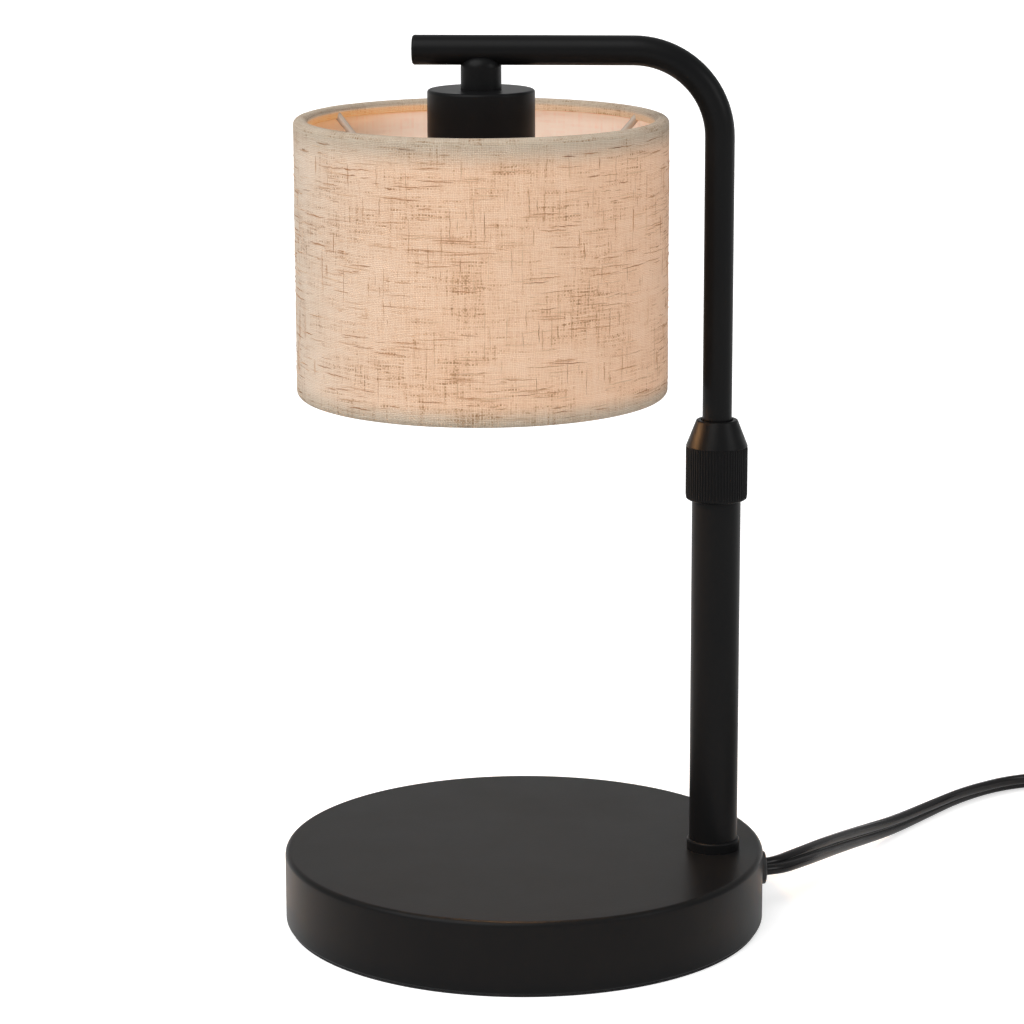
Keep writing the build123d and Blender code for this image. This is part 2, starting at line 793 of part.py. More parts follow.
with BuildPart() as bulb_lens:
    with BuildSketch(on_shade(bulb_face + slip_gap)):
        Circle(bulb_radius - bulb_glass - seat_gap)
    extrude(amount=lens_thickness)
bulb_lens.part.label = "bulb_lens"
export_step(bulb_lens.part, "parts/bulb_lens.step")

with BuildPart() as bulb_capsule:
    with BuildSketch(on_shade(bulb_cap_bottom - capsule_length)):
        Circle(capsule_radius - seat_gap)
    extrude(amount=capsule_length)
    fillet(bulb_capsule.edges().group_by(Axis.Z)[0], capsule_tip_radius)
bulb_capsule.part.label = "bulb_capsule"
export_step(bulb_capsule.part, "parts/bulb_capsule.step")

# ---------------------------------------------------------------- shade

hem_inner = ring_circle - wire_radius - slip_gap
top_ring_z = shade_top - ring_inset
bottom_ring_z = shade_bottom + ring_inset
fitter_z = (fitter_top + fitter_bottom) / 2
hub_circle = fitter_radius - spider_arm_radius / 2


def spider_arm_ends(number):
    """The hub end and the rim end of one arm of the spider."""
    turn = radians(spider_first_angle + number * 360 / spider_arm_count)
    hub_end = Vector(shade_x + hub_circle * cos(turn), hub_circle * sin(turn), fitter_z)
    rim_end = Vector(shade_x + ring_circle * cos(turn), ring_circle * sin(turn), top_ring_z)
    return hub_end, rim_end


with BuildPart() as shade_fabric:
    with BuildSketch(Plane(origin=(shade_x, 0, 0), x_dir=(1, 0, 0), z_dir=(0, -1, 0))):
        with BuildLine():
            Polyline(
                (shade_radius, shade_bottom),
                (shade_radius, shade_top),
                (hem_inner - fabric_thickness, shade_top),
                (hem_inner - fabric_thickness, shade_top - hem_depth),
                (hem_inner, shade_top - hem_depth),
                (hem_inner, shade_top - fabric_thickness),
                (shade_radius - fabric_thickness, shade_top - fabric_thickness),
                (shade_radius - fabric_thickness, shade_bottom + fabric_thickness),
                (hem_inner, shade_bottom + fabric_thickness),
                (hem_inner, shade_bottom + hem_depth),
                (hem_inner - fabric_thickness, shade_bottom + hem_depth),
                (hem_inner - fabric_thickness, shade_bottom),
                close=True,
            )
        make_face()
    revolve(axis=Axis((shade_x, 0, 0), (0, 0, 1)))
    outer_rims = shade_fabric.edges().filter_by(GeomType.CIRCLE).sort_by(SortBy.RADIUS)[-2:]
    fillet(outer_rims, fabric_thickness)
    # the folded hem is notched where each arm of the spider comes through it
    for n in range(spider_arm_count):
        hub_end, rim_end = spider_arm_ends(n)
        with BuildSketch(Plane(origin=rim_end, z_dir=hub_end - rim_end)):
            Circle(spider_arm_radius + hem_notch_gap)
        extrude(amount=hem_notch_reach, mode=Mode.SUBTRACT)
shade_fabric.part.label = "shade_fabric"
export_step(shade_fabric.part, "parts/shade_fabric.step")

with BuildPart() as shade_liner:
    with BuildSketch(on_shade(shade_bottom + fabric_thickness + slip_gap)):
        Circle(liner_radius)
        Circle(liner_radius - liner_thickness, mode=Mode.SUBTRACT)
    extrude(amount=shade_height - 2 * (fabric_thickness + slip_gap))
shade_liner.part.label = "shade_liner"
export_step(shade_liner.part, "parts/shade_liner.step")

with BuildPart() as shade_spider:
    with Locations((shade_x, 0, top_ring_z)):
        Torus(ring_circle, wire_radius)
    with BuildSketch(on_shade(fitter_bottom)):
        Circle(fitter_radius)
        Circle(sleeve_thread_radius + thread_gap, mode=Mode.SUBTRACT)
    extrude(amount=fitter_thickness)
    for n in range(spider_arm_count):
        hub_end, rim_end = spider_arm_ends(n)
        with BuildSketch(Plane(origin=hub_end, z_dir=rim_end - hub_end)):
            Circle(spider_arm_radius)
        extrude(amount=(rim_end - hub_end).length)
shade_spider.part.label = "shade_spider"
export_step(shade_spider.part, "parts/shade_spider.step")

with BuildPart() as shade_bottom_ring:
    with Locations((shade_x, 0, bottom_ring_z)):
        Torus(ring_circle, wire_radius)
shade_bottom_ring.part.label = "shade_bottom_ring"
export_step(shade_bottom_ring.part, "parts/shade_bottom_ring.step")

with BuildPart() as shade_ring_nut:
    with BuildSketch(on_shade(fitter_bottom - ring_nut_height)):
        Circle(ring_nut_radius)
        Circle(sleeve_thread_radius + thread_gap, mode=Mode.SUBTRACT)
    extrude(amount=ring_nut_height)
    fillet(shade_ring_nut.edges().group_by(Axis.Z)[0].sort_by(SortBy.RADIUS)[-1], ring_nut_edge)
shade_ring_nut.part.label = "shade_ring_nut"
export_step(shade_ring_nut.part, "parts/shade_ring_nut.step")

# ---------------------------------------------------------------- leads inside the lamp

lead_x = post_x + core_offset
lead_low_z = ballast_top + core_radius + slip_gap
block_end_x = block_x + block_length
cord_start = exit_direction * cord_inner_end + Vector(0, 0, exit_height)

with BuildPart() as terminal_block:
    with BuildSketch(Plane.XY.offset(ballast_top)):
        with Locations((block_x + block_length / 2, block_y)):
            RectangleRounded(block_length, block_width, block_corner)
    extrude(amount=block_height)
    for side in (-1, 1):
        bore_y = block_y + side * block_bore_spacing / 2
        with BuildSketch(Plane(origin=(block_x, bore_y, exit_height), z_dir=(1, 0, 0))):
            Circle(block_bore_radius)
        extrude(amount=block_length / 2, mode=Mode.SUBTRACT)
        with BuildSketch(Plane.XY.offset(ballast_top + block_height)):
            with Locations((block_x + block_screw_inset, bore_y)):
                Circle(block_screw_radius + slip_gap)
        extrude(amount=exit_height - ballast_top - block_height, mode=Mode.SUBTRACT)
terminal_block.part.label = "terminal_block"
export_step(terminal_block.part, "parts/terminal_block.step")

with BuildPart() as terminal_screws:
    with BuildSketch(Plane.XY.offset(exit_height + block_screw_rise)):
        with Locations((block_x + block_screw_inset, block_y)):
            with GridLocations(1, block_bore_spacing, 1, 2):
                Circle(block_screw_radius)
    extrude(amount=ballast_top + block_height - exit_height - block_screw_rise)
terminal_screws.part.label = "terminal_screws"
export_step(terminal_screws.part, "parts/terminal_screws.step")

inlet_y = block_y + block_bore_spacing / 2
inlet_corner = exit_direction * (cord_inner_end - inlet_straight) + Vector(0, 0, exit_height)

with BuildPart() as lead_inlet:
    with BuildLine() as inlet_line:
        FilletPolyline(
            cord_start,
            inlet_corner,
            (block_end_x + inlet_run_out, inlet_y, exit_height),
            (block_end_x, inlet_y, exit_height),
            radius=inlet_bend_radii,
        )
    with BuildSketch(Plane(origin=cord_start, z_dir=exit_direction)):
        Circle(stub_radius)
    sweep(path=inlet_line.line)
lead_inlet.part.label = "lead_inlet"
export_step(lead_inlet.part, "parts/lead_inlet.step")

with BuildPart() as lead_riser:
    with BuildLine() as riser_line:
        FilletPolyline(
            (block_end_x, 0, lead_low_z),
            (lead_x, 0, lead_low_z),
            (lead_x, 0, plug_top),
            radius=core_bend_radius,
        )
    with BuildSketch(Plane(origin=(block_end_x, 0, lead_low_z), z_dir=(1, 0, 0))):
        Circle(core_radius)
    sweep(path=riser_line.line)
lead_riser.part.label = "lead_riser"
export_step(lead_riser.part, "parts/lead_riser.step")

# the slanted ends of the spiral stay clear of the straight leads
slack_bottom = plug_top + core_radius
slack_height = tube_bottom - core_radius - slack_bottom

with BuildPart() as lead_slack:
    with BuildLine() as slack_line:
        Helix(slack_pitch, slack_height, core_offset, center=(post_x, 0, slack_bottom))
    with BuildSketch(Plane(origin=slack_line.line @ 0, z_dir=slack_line.line % 0)):
        Circle(core_radius)
    sweep(path=slack_line.line, is_frenet=True)
lead_slack.part.label = "lead_slack"
export_step(lead_slack.part, "parts/lead_slack.step")

lead_high_z = arm_height + core_offset

with BuildPart() as arm_lead:
    with BuildLine() as arm_lead_line:
        FilletPolyline(
            (lead_x, 0, tube_bottom),
            (lead_x, 0, lead_high_z),
            (shade_x, 0, lead_high_z),
            (shade_x, 0, ledge_bottom),
            radius=[bend_radius + core_offset, core_bend_radius],
        )
    with BuildSketch(Plane(origin=(lead_x, 0, tube_bottom), z_dir=(0, 0, 1))):
        Circle(core_radius)
    sweep(path=arm_lead_line.line)
arm_lead.part.label = "arm_lead"
export_step(arm_lead.part, "parts/arm_lead.step")

# ---------------------------------------------------------------- lead outside the lamp

cord_points = [
    tuple(cord_start),
    tuple(exit_direction * cord_first_corner + Vector(0, 0, exit_height)),
    *cord_rest,
]
cord_radii = tangent_radii(cord_points)
print("lead bend radii", [round(r, 1) for r in cord_radii])

with BuildPart() as cord_lead:
    with BuildLine() as cord_line:
        FilletPolyline(*cord_points, radius=cord_radii)
    with BuildSketch(Plane(origin=cord_line.line @ 0, z_dir=cord_line.line % 0)):
        Circle(cord_radius)
    sweep(path=cord_line.line)
lead_length = sum(edge.length for edge in cord_line.edges())
lead_area = pi * cord_radius**2
print("lead length", round(lead_length, 1), "volume over section", round(cord_lead.part.volume / lead_area, 1))
cord_lead.part.label = "cord_lead"
export_step(cord_lead.part, "parts/cord_lead.step")

# the dimmer sits in line with the last run of the lead
dimmer_start = Vector(cord_points[-1])
last_run = dimmer_start - Vector(cord_points[-2])
dimmer_heading = atan2(last_run.Y, last_run.X)
dimmer_direction = Vector(cos(dimmer_heading), sin(dimmer_heading), 0)
dimmer_middle = Vector(dimmer_start.X, dimmer_start.Y, 0) + dimmer_direction * (dimmer_length / 2)
dimmer_end = dimmer_start + dimmer_direction * dimmer_length


def on_dimmer(height):
    """A drawing plane over the dimmer's middle, with X along the lead."""
    return Plane(origin=dimmer_middle + Vector(0, 0, height), x_dir=dimmer_direction, z_dir=(0, 0, 1))


link_points = [tuple(dimmer_end), tuple(dimmer_end + dimmer_direction * link_straight), *link_rest]
link_radii = tangent_radii(link_points)
print("link bend radii", [round(r, 1) for r in link_radii])

with BuildPart() as cord_link:
    with BuildLine() as link_line:
        FilletPolyline(*link_points, radius=link_radii)
    with BuildSketch(Plane(origin=dimmer_end, z_dir=dimmer_direction)):
        Circle(cord_radius)
    sweep(path=link_line.line)
cord_link.part.label = "cord_link"
export_step(cord_link.part, "parts/cord_link.step")

coil_inner = coil_radius - coil_half_width
coil_outer = coil_radius + coil_half_width
tie_turn = radians(tie_angle)
tie_middle = Vector(coil_x + coil_radius * cos(tie_turn), coil_y + coil_radius * sin(tie_turn), 0)
tie_radial = (cos(tie_turn), sin(tie_turn), 0)
tie_plane = Plane(origin=tie_middle, x_dir=tie_radial, z_dir=(sin(tie_turn), -cos(tie_turn), 0))

with BuildPart() as cord_coil:
    with BuildSketch(Plane(origin=(coil_x, coil_y, 0))):
        Circle(coil_outer)
        Circle(coil_inner, mode=Mode.SUBTRACT)
    extrude(amount=coil_height)
    fillet(cord_coil.edges().filter_by(GeomType.CIRCLE), coil_edge)
    # the strap sits in a shallow waist, so that the coil still lies flat
    with BuildSketch(tie_plane) as tie_waist:
        with Locations((0, coil_height / 2)):
            Rectangle(4 * coil_half_width, 2 * coil_height)
            RectangleRounded(
                2 * (coil_half_width - tie_thickness - tie_gap),
                coil_height - 2 * (tie_thickness + tie_gap),
                tie_thickness,
                mode=Mode.SUBTRACT,
            )
    extrude(amount=tie_width / 2 + tie_gap, both=True, mode=Mode.SUBTRACT)
cord_coil.part.label = "cord_coil"
export_step(cord_coil.part, "parts/cord_coil.step")

with BuildPart() as cord_tie:
    with BuildSketch(tie_plane):
        with Locations((0, coil_height / 2)):
            RectangleRounded(2 * coil_half_width, coil_height, 2 * tie_thickness)
            RectangleRounded(
                2 * (coil_half_width - tie_thickness),
                coil_height - 2 * tie_thickness,
                tie_thickness,
                mode=Mode.SUBTRACT,
            )
    extrude(amount=tie_width / 2, both=True)
cord_tie.part.label = "cord_tie"
export_step(cord_tie.part, "parts/cord_tie.step")

end_radii = tangent_radii(cord_end_points)
print("plug lead bend radii", [round(r, 1) for r in end_radii])

with BuildPart() as cord_end:
    with BuildLine() as end_line:
        FilletPolyline(*cord_end_points, radius=end_radii)
    with BuildSketch(Plane(origin=end_line.line @ 0, z_dir=end_line.line % 0)):
        Circle(cord_radius)
    sweep(path=end_line.line)
cord_end.part.label = "cord_end"
export_step(cord_end.part, "parts/cord_end.step")

# ---------------------------------------------------------------- dimmer on the lead

wheel_axis_z = dimmer_height + wheel_proud - wheel_radius
roof_z = dimmer_height - dimmer_wall
board_top = dimmer_wall + slip_gap + board_thickness
pot_side = wheel_thickness / 2 + wheel_gap
screw_spots = [(-dimmer_screw_offset, 0), (dimmer_screw_offset, 0)]
screw_seat = slip_gap + dimmer_screw_head_height
wheel_plane = Plane(
    origin=dimmer_middle + Vector(0, 0, wheel_axis_z),
    x_dir=dimmer_direction,
    z_dir=(-sin(dimmer_heading), cos(dimmer_heading), 0),
)
cord_ends = [(dimmer_start, dimmer_direction), (dimmer_end, dimmer_direction * -1)]

with BuildPart() as dimmer_bottom:
    with BuildSketch(on_dimmer(0)):
        RectangleRounded(dimmer_length, dimmer_width, dimmer_corner)
    extrude(amount=dimmer_split)
    fillet(dimmer_bottom.edges().group_by(Axis.Z)[0], dimmer_bottom_edge)
    with BuildSketch(on_dimmer(dimmer_wall)):
        RectangleRounded(
            dimmer_length - 2 * dimmer_wall,
            dimmer_width - 2 * dimmer_wall,
            dimmer_corner - dimmer_wall,
        )
    extrude(amount=dimmer_split - dimmer_wall, mode=Mode.SUBTRACT)
    with BuildSketch(on_dimmer(dimmer_wall)):
        with Locations(*screw_spots):
            Circle(dimmer_boss_radius)
    extrude(amount=dimmer_split - dimmer_wall)
    with BuildSketch(on_dimmer(0)):
        with Locations(*screw_spots):
            Circle(dimmer_screw_head_radius + thread_gap)
    extrude(amount=screw_seat, mode=Mode.SUBTRACT)
    with BuildSketch(on_dimmer(0)):
        with Locations(*screw_spots):
            Circle(dimmer_screw_radius + slip_gap)
    extrude(amount=dimmer_split, mode=Mode.SUBTRACT)
    for hole_at, inward in cord_ends:
        with BuildSketch(Plane(origin=hole_at, z_dir=inward)):
            Circle(dimmer_cord_hole)
        extrude(amount=2 * dimmer_wall, mode=Mode.SUBTRACT)
dimmer_bottom.part.label = "dimmer_bottom"
export_step(dimmer_bottom.part, "parts/dimmer_bottom.step")

with BuildPart() as dimmer_top:
    with BuildSketch(on_dimmer(dimmer_split)):
        RectangleRounded(dimmer_length, dimmer_width, dimmer_corner)
    extrude(amount=dimmer_height - dimmer_split)
    fillet(dimmer_top.edges().group_by(Axis.Z)[-1], dimmer_top_edge)
    with BuildSketch(on_dimmer(dimmer_split)):
        RectangleRounded(
            dimmer_length - 2 * dimmer_wall,
            dimmer_width - 2 * dimmer_wall,
            dimmer_corner - dimmer_wall,
        )
    extrude(amount=roof_z - dimmer_split, mode=Mode.SUBTRACT)
    with BuildSketch(on_dimmer(dimmer_split)):
        with Locations(*screw_spots):
            Circle(dimmer_boss_radius)
    extrude(amount=roof_z - dimmer_split)
    with BuildSketch(on_dimmer(dimmer_split)):
        with Locations(*screw_spots):
            Circle(dimmer_screw_radius + slip_gap)
    extrude(amount=roof_z - dimmer_split - dimmer_wall, mode=Mode.SUBTRACT)
    with BuildSketch(wheel_plane):
        Circle(wheel_radius + wheel_gap)
    extrude(amount=pot_side, both=True, mode=Mode.SUBTRACT)
    for hole_at, inward in cord_ends:
        with BuildSketch(Plane(origin=hole_at, z_dir=inward)):
            Circle(dimmer_cord_hole)
        extrude(amount=2 * dimmer_wall, mode=Mode.SUBTRACT)
dimmer_top.part.label = "dimmer_top"
export_step(dimmer_top.part, "parts/dimmer_top.step")

with BuildPart() as dimmer_board:
    with BuildSketch(on_dimmer(dimmer_wall + slip_gap)):
        Rectangle(board_length, board_width)
    extrude(amount=board_thickness)
dimmer_board.part.label = "dimmer_board"
export_step(dimmer_board.part, "parts/dimmer_board.step")

with BuildPart() as dimmer_pot:
    with BuildSketch(on_dimmer(board_top)):
        with Locations((0, pot_side + pot_width / 2)):
            Rectangle(pot_length, pot_width)
    extrude(amount=roof_z - slip_gap - board_top)
    with BuildSketch(wheel_plane):
        Circle(wheel_shaft_radius + slip_gap)
    extrude(amount=pot_side + pot_width - dimmer_wall, mode=Mode.SUBTRACT)
dimmer_pot.part.label = "dimmer_pot"
export_step(dimmer_pot.part, "parts/dimmer_pot.step")

with BuildPart() as dimmer_wheel:
    with BuildSketch(wheel_plane):
        Circle(wheel_radius)
    extrude(amount=wheel_thickness / 2, both=True)
    fillet(dimmer_wheel.edges().filter_by(GeomType.CIRCLE), wheel_gap)
    with BuildSketch(wheel_plane):
        Circle(wheel_shaft_radius)
    extrude(amount=pot_side + pot_width - dimmer_wall - slip_gap)
dimmer_wheel.part.label = "dimmer_wheel"
export_step(dimmer_wheel.part, "parts/dimmer_wheel.step")

with BuildPart() as dimmer_screws:
    with BuildSketch(on_dimmer(slip_gap)):
        with Locations(*screw_spots):
            Circle(dimmer_screw_head_radius)
    extrude(amount=dimmer_screw_head_height)
    with BuildSketch(on_dimmer(screw_seat)):
        with Locations(*screw_spots):
            Circle(dimmer_screw_radius)
    extrude(amount=roof_z - dimmer_wall - screw_seat - wheel_gap)
dimmer_screws.part.label = "dimmer_screws"
export_step(dimmer_screws.part, "parts/dimmer_screws.step")

# ---------------------------------------------------------------- plug

plug_start = Vector(cord_end_points[-1])
plug_run = plug_start - Vector(cord_end_points[-2])
plug_heading = atan2(plug_run.Y, plug_run.X)
plug_direction = Vector(cos(plug_heading), sin(plug_heading), 0)
plug_floor = Plane(origin=(plug_start.X, plug_start.Y, 0), x_dir=plug_direction, z_dir=(0, 0, 1))
shoulder_end = plug_relief_length + plug_shoulder_length
plug_face = plug_relief_length + plug_body_length

with BuildPart() as plug_body:
    with BuildSketch(plug_floor):
        with BuildLine():
            Polyline(
                (plug_relief_length, -plug_shoulder_width / 2),
                (shoulder_end, -plug_body_width / 2),
                (plug_face, -plug_body_width / 2),
                (plug_face, plug_body_width / 2),
                (shoulder_end, plug_body_width / 2),
                (plug_relief_length, plug_shoulder_width / 2),
                close=True,
            )
        make_face()
    extrude(amount=plug_body_height)
    fillet(plug_body.edges().filter_by(Axis.Z), plug_corner)
    fillet(plug_body.edges().group_by(Axis.Z)[-1] + plug_body.edges().group_by(Axis.Z)[0], plug_edge)
    # the moulded sleeve that keeps the lead from kinking runs on into the body
    relief_plane = Plane(origin=plug_start, z_dir=plug_direction)
    with BuildSketch(relief_plane):
        Circle(plug_relief_tip_radius)
    with BuildSketch(relief_plane.offset(plug_relief_length + plug_corner)):
        Circle(plug_relief_root_radius)
    loft()
plug_body.part.label = "plug_body"
export_step(plug_body.part, "parts/plug_body.step")

blade_bottom = (plug_body_height - blade_width) / 2

with BuildPart() as plug_blades:
    with BuildSketch(plug_floor.offset(blade_bottom)):
        with Locations((plug_face + blade_length / 2, 0)):
            with GridLocations(1, blade_spacing, 1, 2):
                Rectangle(blade_length, blade_thickness)
    extrude(amount=blade_width)
plug_blades.part.label = "plug_blades"
export_step(plug_blades.part, "parts/plug_blades.step")
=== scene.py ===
# %% [markdown]
# # A candle warmer lamp, dressed
#
# The lamp melts a jar candle from above. A round, heavy base carries a telescoping post, the post carries a
# bent arm, and the arm carries a linen drum shade with a spot bulb inside. This lesson gives each part its
# finish and models what a turned or cut solid can't show: the woven cloth, the grooved collar, the flat lead
# and its coil.
#
# The construction comes in as a fixed frame, in metres, with +Z up and the middle of the base at the origin.
# Nothing in it is moved. A piece that needs a richer shape gets a mesh of its own in the same place.

# %% Load the frame
import json
from math import atan2, cos, degrees, pi, radians, sin, tan

import bpy
import bmesh
from mathutils import Matrix, Vector, noise


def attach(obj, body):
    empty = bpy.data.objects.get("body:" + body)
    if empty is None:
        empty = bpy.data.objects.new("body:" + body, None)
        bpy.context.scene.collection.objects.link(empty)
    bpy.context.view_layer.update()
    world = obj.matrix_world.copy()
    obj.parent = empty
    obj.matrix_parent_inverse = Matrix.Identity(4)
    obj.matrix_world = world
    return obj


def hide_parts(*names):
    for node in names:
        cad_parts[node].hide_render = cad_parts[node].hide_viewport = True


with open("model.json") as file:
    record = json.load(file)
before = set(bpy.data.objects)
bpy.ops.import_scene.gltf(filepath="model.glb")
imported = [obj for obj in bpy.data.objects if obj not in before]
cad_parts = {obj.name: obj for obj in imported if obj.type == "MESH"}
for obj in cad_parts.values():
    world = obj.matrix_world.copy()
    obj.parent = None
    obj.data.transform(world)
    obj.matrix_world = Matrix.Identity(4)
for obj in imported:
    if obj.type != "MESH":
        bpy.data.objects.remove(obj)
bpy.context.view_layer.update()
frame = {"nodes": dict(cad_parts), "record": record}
MM = 0.001

# %% [markdown]
# ## Camera
#
# A product picture is taken from some distance with a long lens, which keeps the post upright and the base's
# ellipse narrow. The camera stands a good metre away, a hand above the shade, and looks down by 13 degrees.
# Its turns are applied one after the other: the heading round Z, the tilt round X, and a touch of roll.

# %% Camera
camera_place = Vector((60.63, -1086.34, 376.83)) * MM
camera_heading = radians(3.38)
camera_tilt = radians(90 - 12.75)
camera_roll = radians(-0.15)


def add_object(name, data):
    """A new object in the scene that shows the data."""
    made = bpy.data.objects.new(name, data)
    bpy.context.scene.collection.objects.link(made)
    return made


camera = add_object("camera", bpy.data.cameras.new("camera"))
camera.data.lens = 127.26
turned_to = Matrix.Rotation(camera_heading, 4, "Z") @ Matrix.Rotation(camera_tilt, 4, "X")
camera.matrix_world = Matrix.Translation(camera_place) @ turned_to @ Matrix.Rotation(camera_roll, 4, "Z")
bpy.context.scene.camera = camera
print("camera", [round(x, 3) for x in camera_place])

# %% [markdown]
# ## Small helpers for meshes
#
# Every finished piece is a plain mesh whose object sits at the origin, with its place in its points.
# `make_piece` turns points and faces into such an object, joins doubled points, turns all faces outwards and
# marks the corners that should stay sharp, so that round stretches shade smoothly. `baked` serves curves and
# geometry trees: it keeps the mesh they give and drops what made it. `settle` says which body a piece rides
# on, which of the `finishes` it takes and which solids it stands for.

# %% Mesh helpers
SHARP = radians(38)
WELD = 1e-6
finishes = {}


def finish_mesh(mesh, sharp, weld=0.0):
    work = bmesh.new()
    work.from_mesh(mesh)
    if weld:
        bmesh.ops.remove_doubles(work, verts=work.verts, dist=weld)
    bmesh.ops.recalc_face_normals(work, faces=work.faces)
    work.to_mesh(mesh)
    work.free()
    mesh.shade_smooth()
    mesh.set_sharp_from_angle(angle=sharp)


def make_piece(name, points, faces, sharp=SHARP, uvs=()):
    mesh = bpy.data.meshes.new(name)
    mesh.from_pydata([tuple(p) for p in points], [], faces)
    if uvs:
        layer = mesh.uv_layers.new(name="cloth")
        for corner, place in zip(layer.data, uvs):
            corner.uv = place
    finish_mesh(mesh, sharp, WELD)
    return add_object(name, mesh)


def band(here, there, count):
    """Faces from one closed ring of points to the next, each given by the number of its first point."""
    pairs = [(k, (k + 1) % count) for k in range(count)]
    return [(here + k, here + after, there + after, there + k) for k, after in pairs]


def baked(holder):
    """The plain mesh that an object's curve or modifiers give. The object itself goes."""
    mesh = bpy.data.meshes.new_from_object(holder.evaluated_get(bpy.context.evaluated_depsgraph_get()))
    bpy.data.objects.remove(holder)
    return mesh


def settle(piece, body, slot, *nodes):
    """The piece rides on a body, takes a slot's finish and stands for the nodes named."""
    if not piece.data.materials:
        piece.data.materials.append(finishes[slot])
    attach(piece, body)
    if nodes:
        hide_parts(*nodes)
    print(piece.name, len(piece.data.polygons), "faces on", body)
    return piece


print("corners over", round(degrees(SHARP)), "degrees stay sharp")

# %% [markdown]
# ## Small helpers for materials
#
# A finish is a small tree of nodes. `node` adds one, sets its properties and its inputs, and joins an input
# where the value given is another node's output. `socket` does the same and hands on one output, and `calc`
# works out a sum in the tree of the sockets it is given. That keeps a tree readable as nested calls.

# %% Nodes
def join(entry, value):
    """Links an input to another node's output, or sets it to a plain value."""
    if isinstance(value, bpy.types.NodeSocket):
        entry.id_data.links.new(value, entry)
    else:
        entry.default_value = value


def node(tree, kind, inputs=None, **settings):
    made = tree.nodes.new(kind)
    for name, value in settings.items():
        setattr(made, name, value)
    for name, value in (inputs or {}).items():
        join(made.inputs[name], value)
    return made


def socket(tree, kind, inputs=None, take=0, **settings):
    return node(tree, kind, inputs, **settings).outputs[take]


def calc(operation, *values, kind="ShaderNodeMath", take=0):
    tree = next(value.id_data for value in values if isinstance(value, bpy.types.NodeSocket))
    return socket(tree, kind, dict(enumerate(values)), take, operation=operation)


def times(first, second):
    return calc("MULTIPLY", first, second)


def scaled(value, factor, offset):
    return calc("MULTIPLY_ADD", value, factor, offset)


def combine(tree, x, y, z):
    return socket(tree, "ShaderNodeCombineXYZ", {"X": x, "Y": y, "Z": z})


def axes_of(vector):
    """The parts of a vector, to be taken by their names X, Y and Z."""
    return node(vector.id_data, "ShaderNodeSeparateXYZ", {"Vector": vector}).outputs


def map_range(value, low, high, to_low=0.0, to_high=1.0, **settings):
    """A value between low and high laid over another range, and held at its ends."""
    inputs = {"Value": value, "From Min": low, "From Max": high, "To Min": to_low, "To Max": to_high}
    return socket(value.id_data, "ShaderNodeMapRange", inputs, **settings)


def smooth_step(value, low, high):
    return map_range(value, low, high, interpolation_type="SMOOTHSTEP")


def noise_at(place, scale, detail=2.0, roughness=0.5, take="Fac"):
    """Noise with so many features per unit of the place given."""
    inputs = {"Vector": place, "Scale": scale, "Detail": detail, "Roughness": roughness}
    return socket(place.id_data, "ShaderNodeTexNoise", inputs, take)


node_helpers = (join, node, socket, calc, combine, axes_of, map_range, noise_at)
print("node helpers", [helper.__name__ for helper in node_helpers])

# %% Materials
def dress(material, **values):
    """Joins values to inputs of the material's shader. The name base_color stands for Base Color."""
    shader = material.node_tree.nodes["Principled BSDF"]
    for name, value in values.items():
        join(shader.inputs[name.replace("_", " ").title().replace("Ior", "IOR")], value)
    return material


def new_material(name, **constants):
    material = bpy.data.materials.new(name)
    material.use_nodes = True
    return dress(material, **constants), material.node_tree


def own_place(tree):
    """The piece's own coordinates, in metres."""
    return socket(tree, "ShaderNodeTexCoord", take="Object")


def ramp(factor, *stops):
    """A colour ramp through (place, colour) stops."""
    made = node(factor.id_data, "ShaderNodeValToRGB", {"Fac": factor})
    elements = made.color_ramp.elements
    while len(elements) < len(stops):
        elements.new(1.0)
    for element, (place, colour) in zip(elements, stops):
        element.position = place
        element.color = (*colour, 1.0)
    return made.outputs["Color"]


def blend_colour(share, first, second):
    """From the first colour to the second. A colour is a socket or four numbers."""
    return socket(share.id_data, "ShaderNodeMix", {0: share, 6: first, 7: second}, 2, data_type="RGBA")


def relief(height, depth, **under):
    """A bump of a real depth in metres, on top of the Normal given."""
    inputs = {"Height": height, "Distance": depth, "Strength": 1.0, **under}
    return socket(height.id_data, "ShaderNodeBump", inputs)


print("materials so far", len(bpy.data.materials))

# %% [markdown]
# ## The flat lead
#
# The lead is a flat twin flex: two round cores side by side in one glossy jacket, with a groove between them
# and three fine ridges on one side that mark the neutral core. It is stiff across its width, so it twists on
# its way: it leaves the base almost flat, stands on its edge some centimetres on and leans over to the other
# side after that.
#
# Its line is one smooth spline through a few given points. The section is then carried along the points that
# the spline gives, and a roll angle turns it from lying to standing.

# %% Section of the lead
lead_width = 6.6 * MM
core_radius = 1.7 * MM
core_offset = lead_width / 2 - core_radius
groove_angle = radians(150)
ridge_height = 0.12 * MM
ridge_every = 25
arc_steps = 24


def lead_section():
    """The outline of the twin flex as (across, through) points, ridged on its first core."""
    outline = []
    for side in (1, -1):
        for step in range(arc_steps + 1):
            turn = -groove_angle + 2 * groove_angle * step / arc_steps
            away = abs(degrees(turn))
            ridged = side == 1 and away < 1.5 * ridge_every and round(away) % ridge_every == 0
            radius = core_radius + (ridge_height if ridged else 0)
            outline.append((side * (core_offset + radius * cos(turn)), side * radius * sin(turn)))
    return outline


print("lead section", len(lead_section()), "points,", round(lead_width / MM, 1), "mm wide")

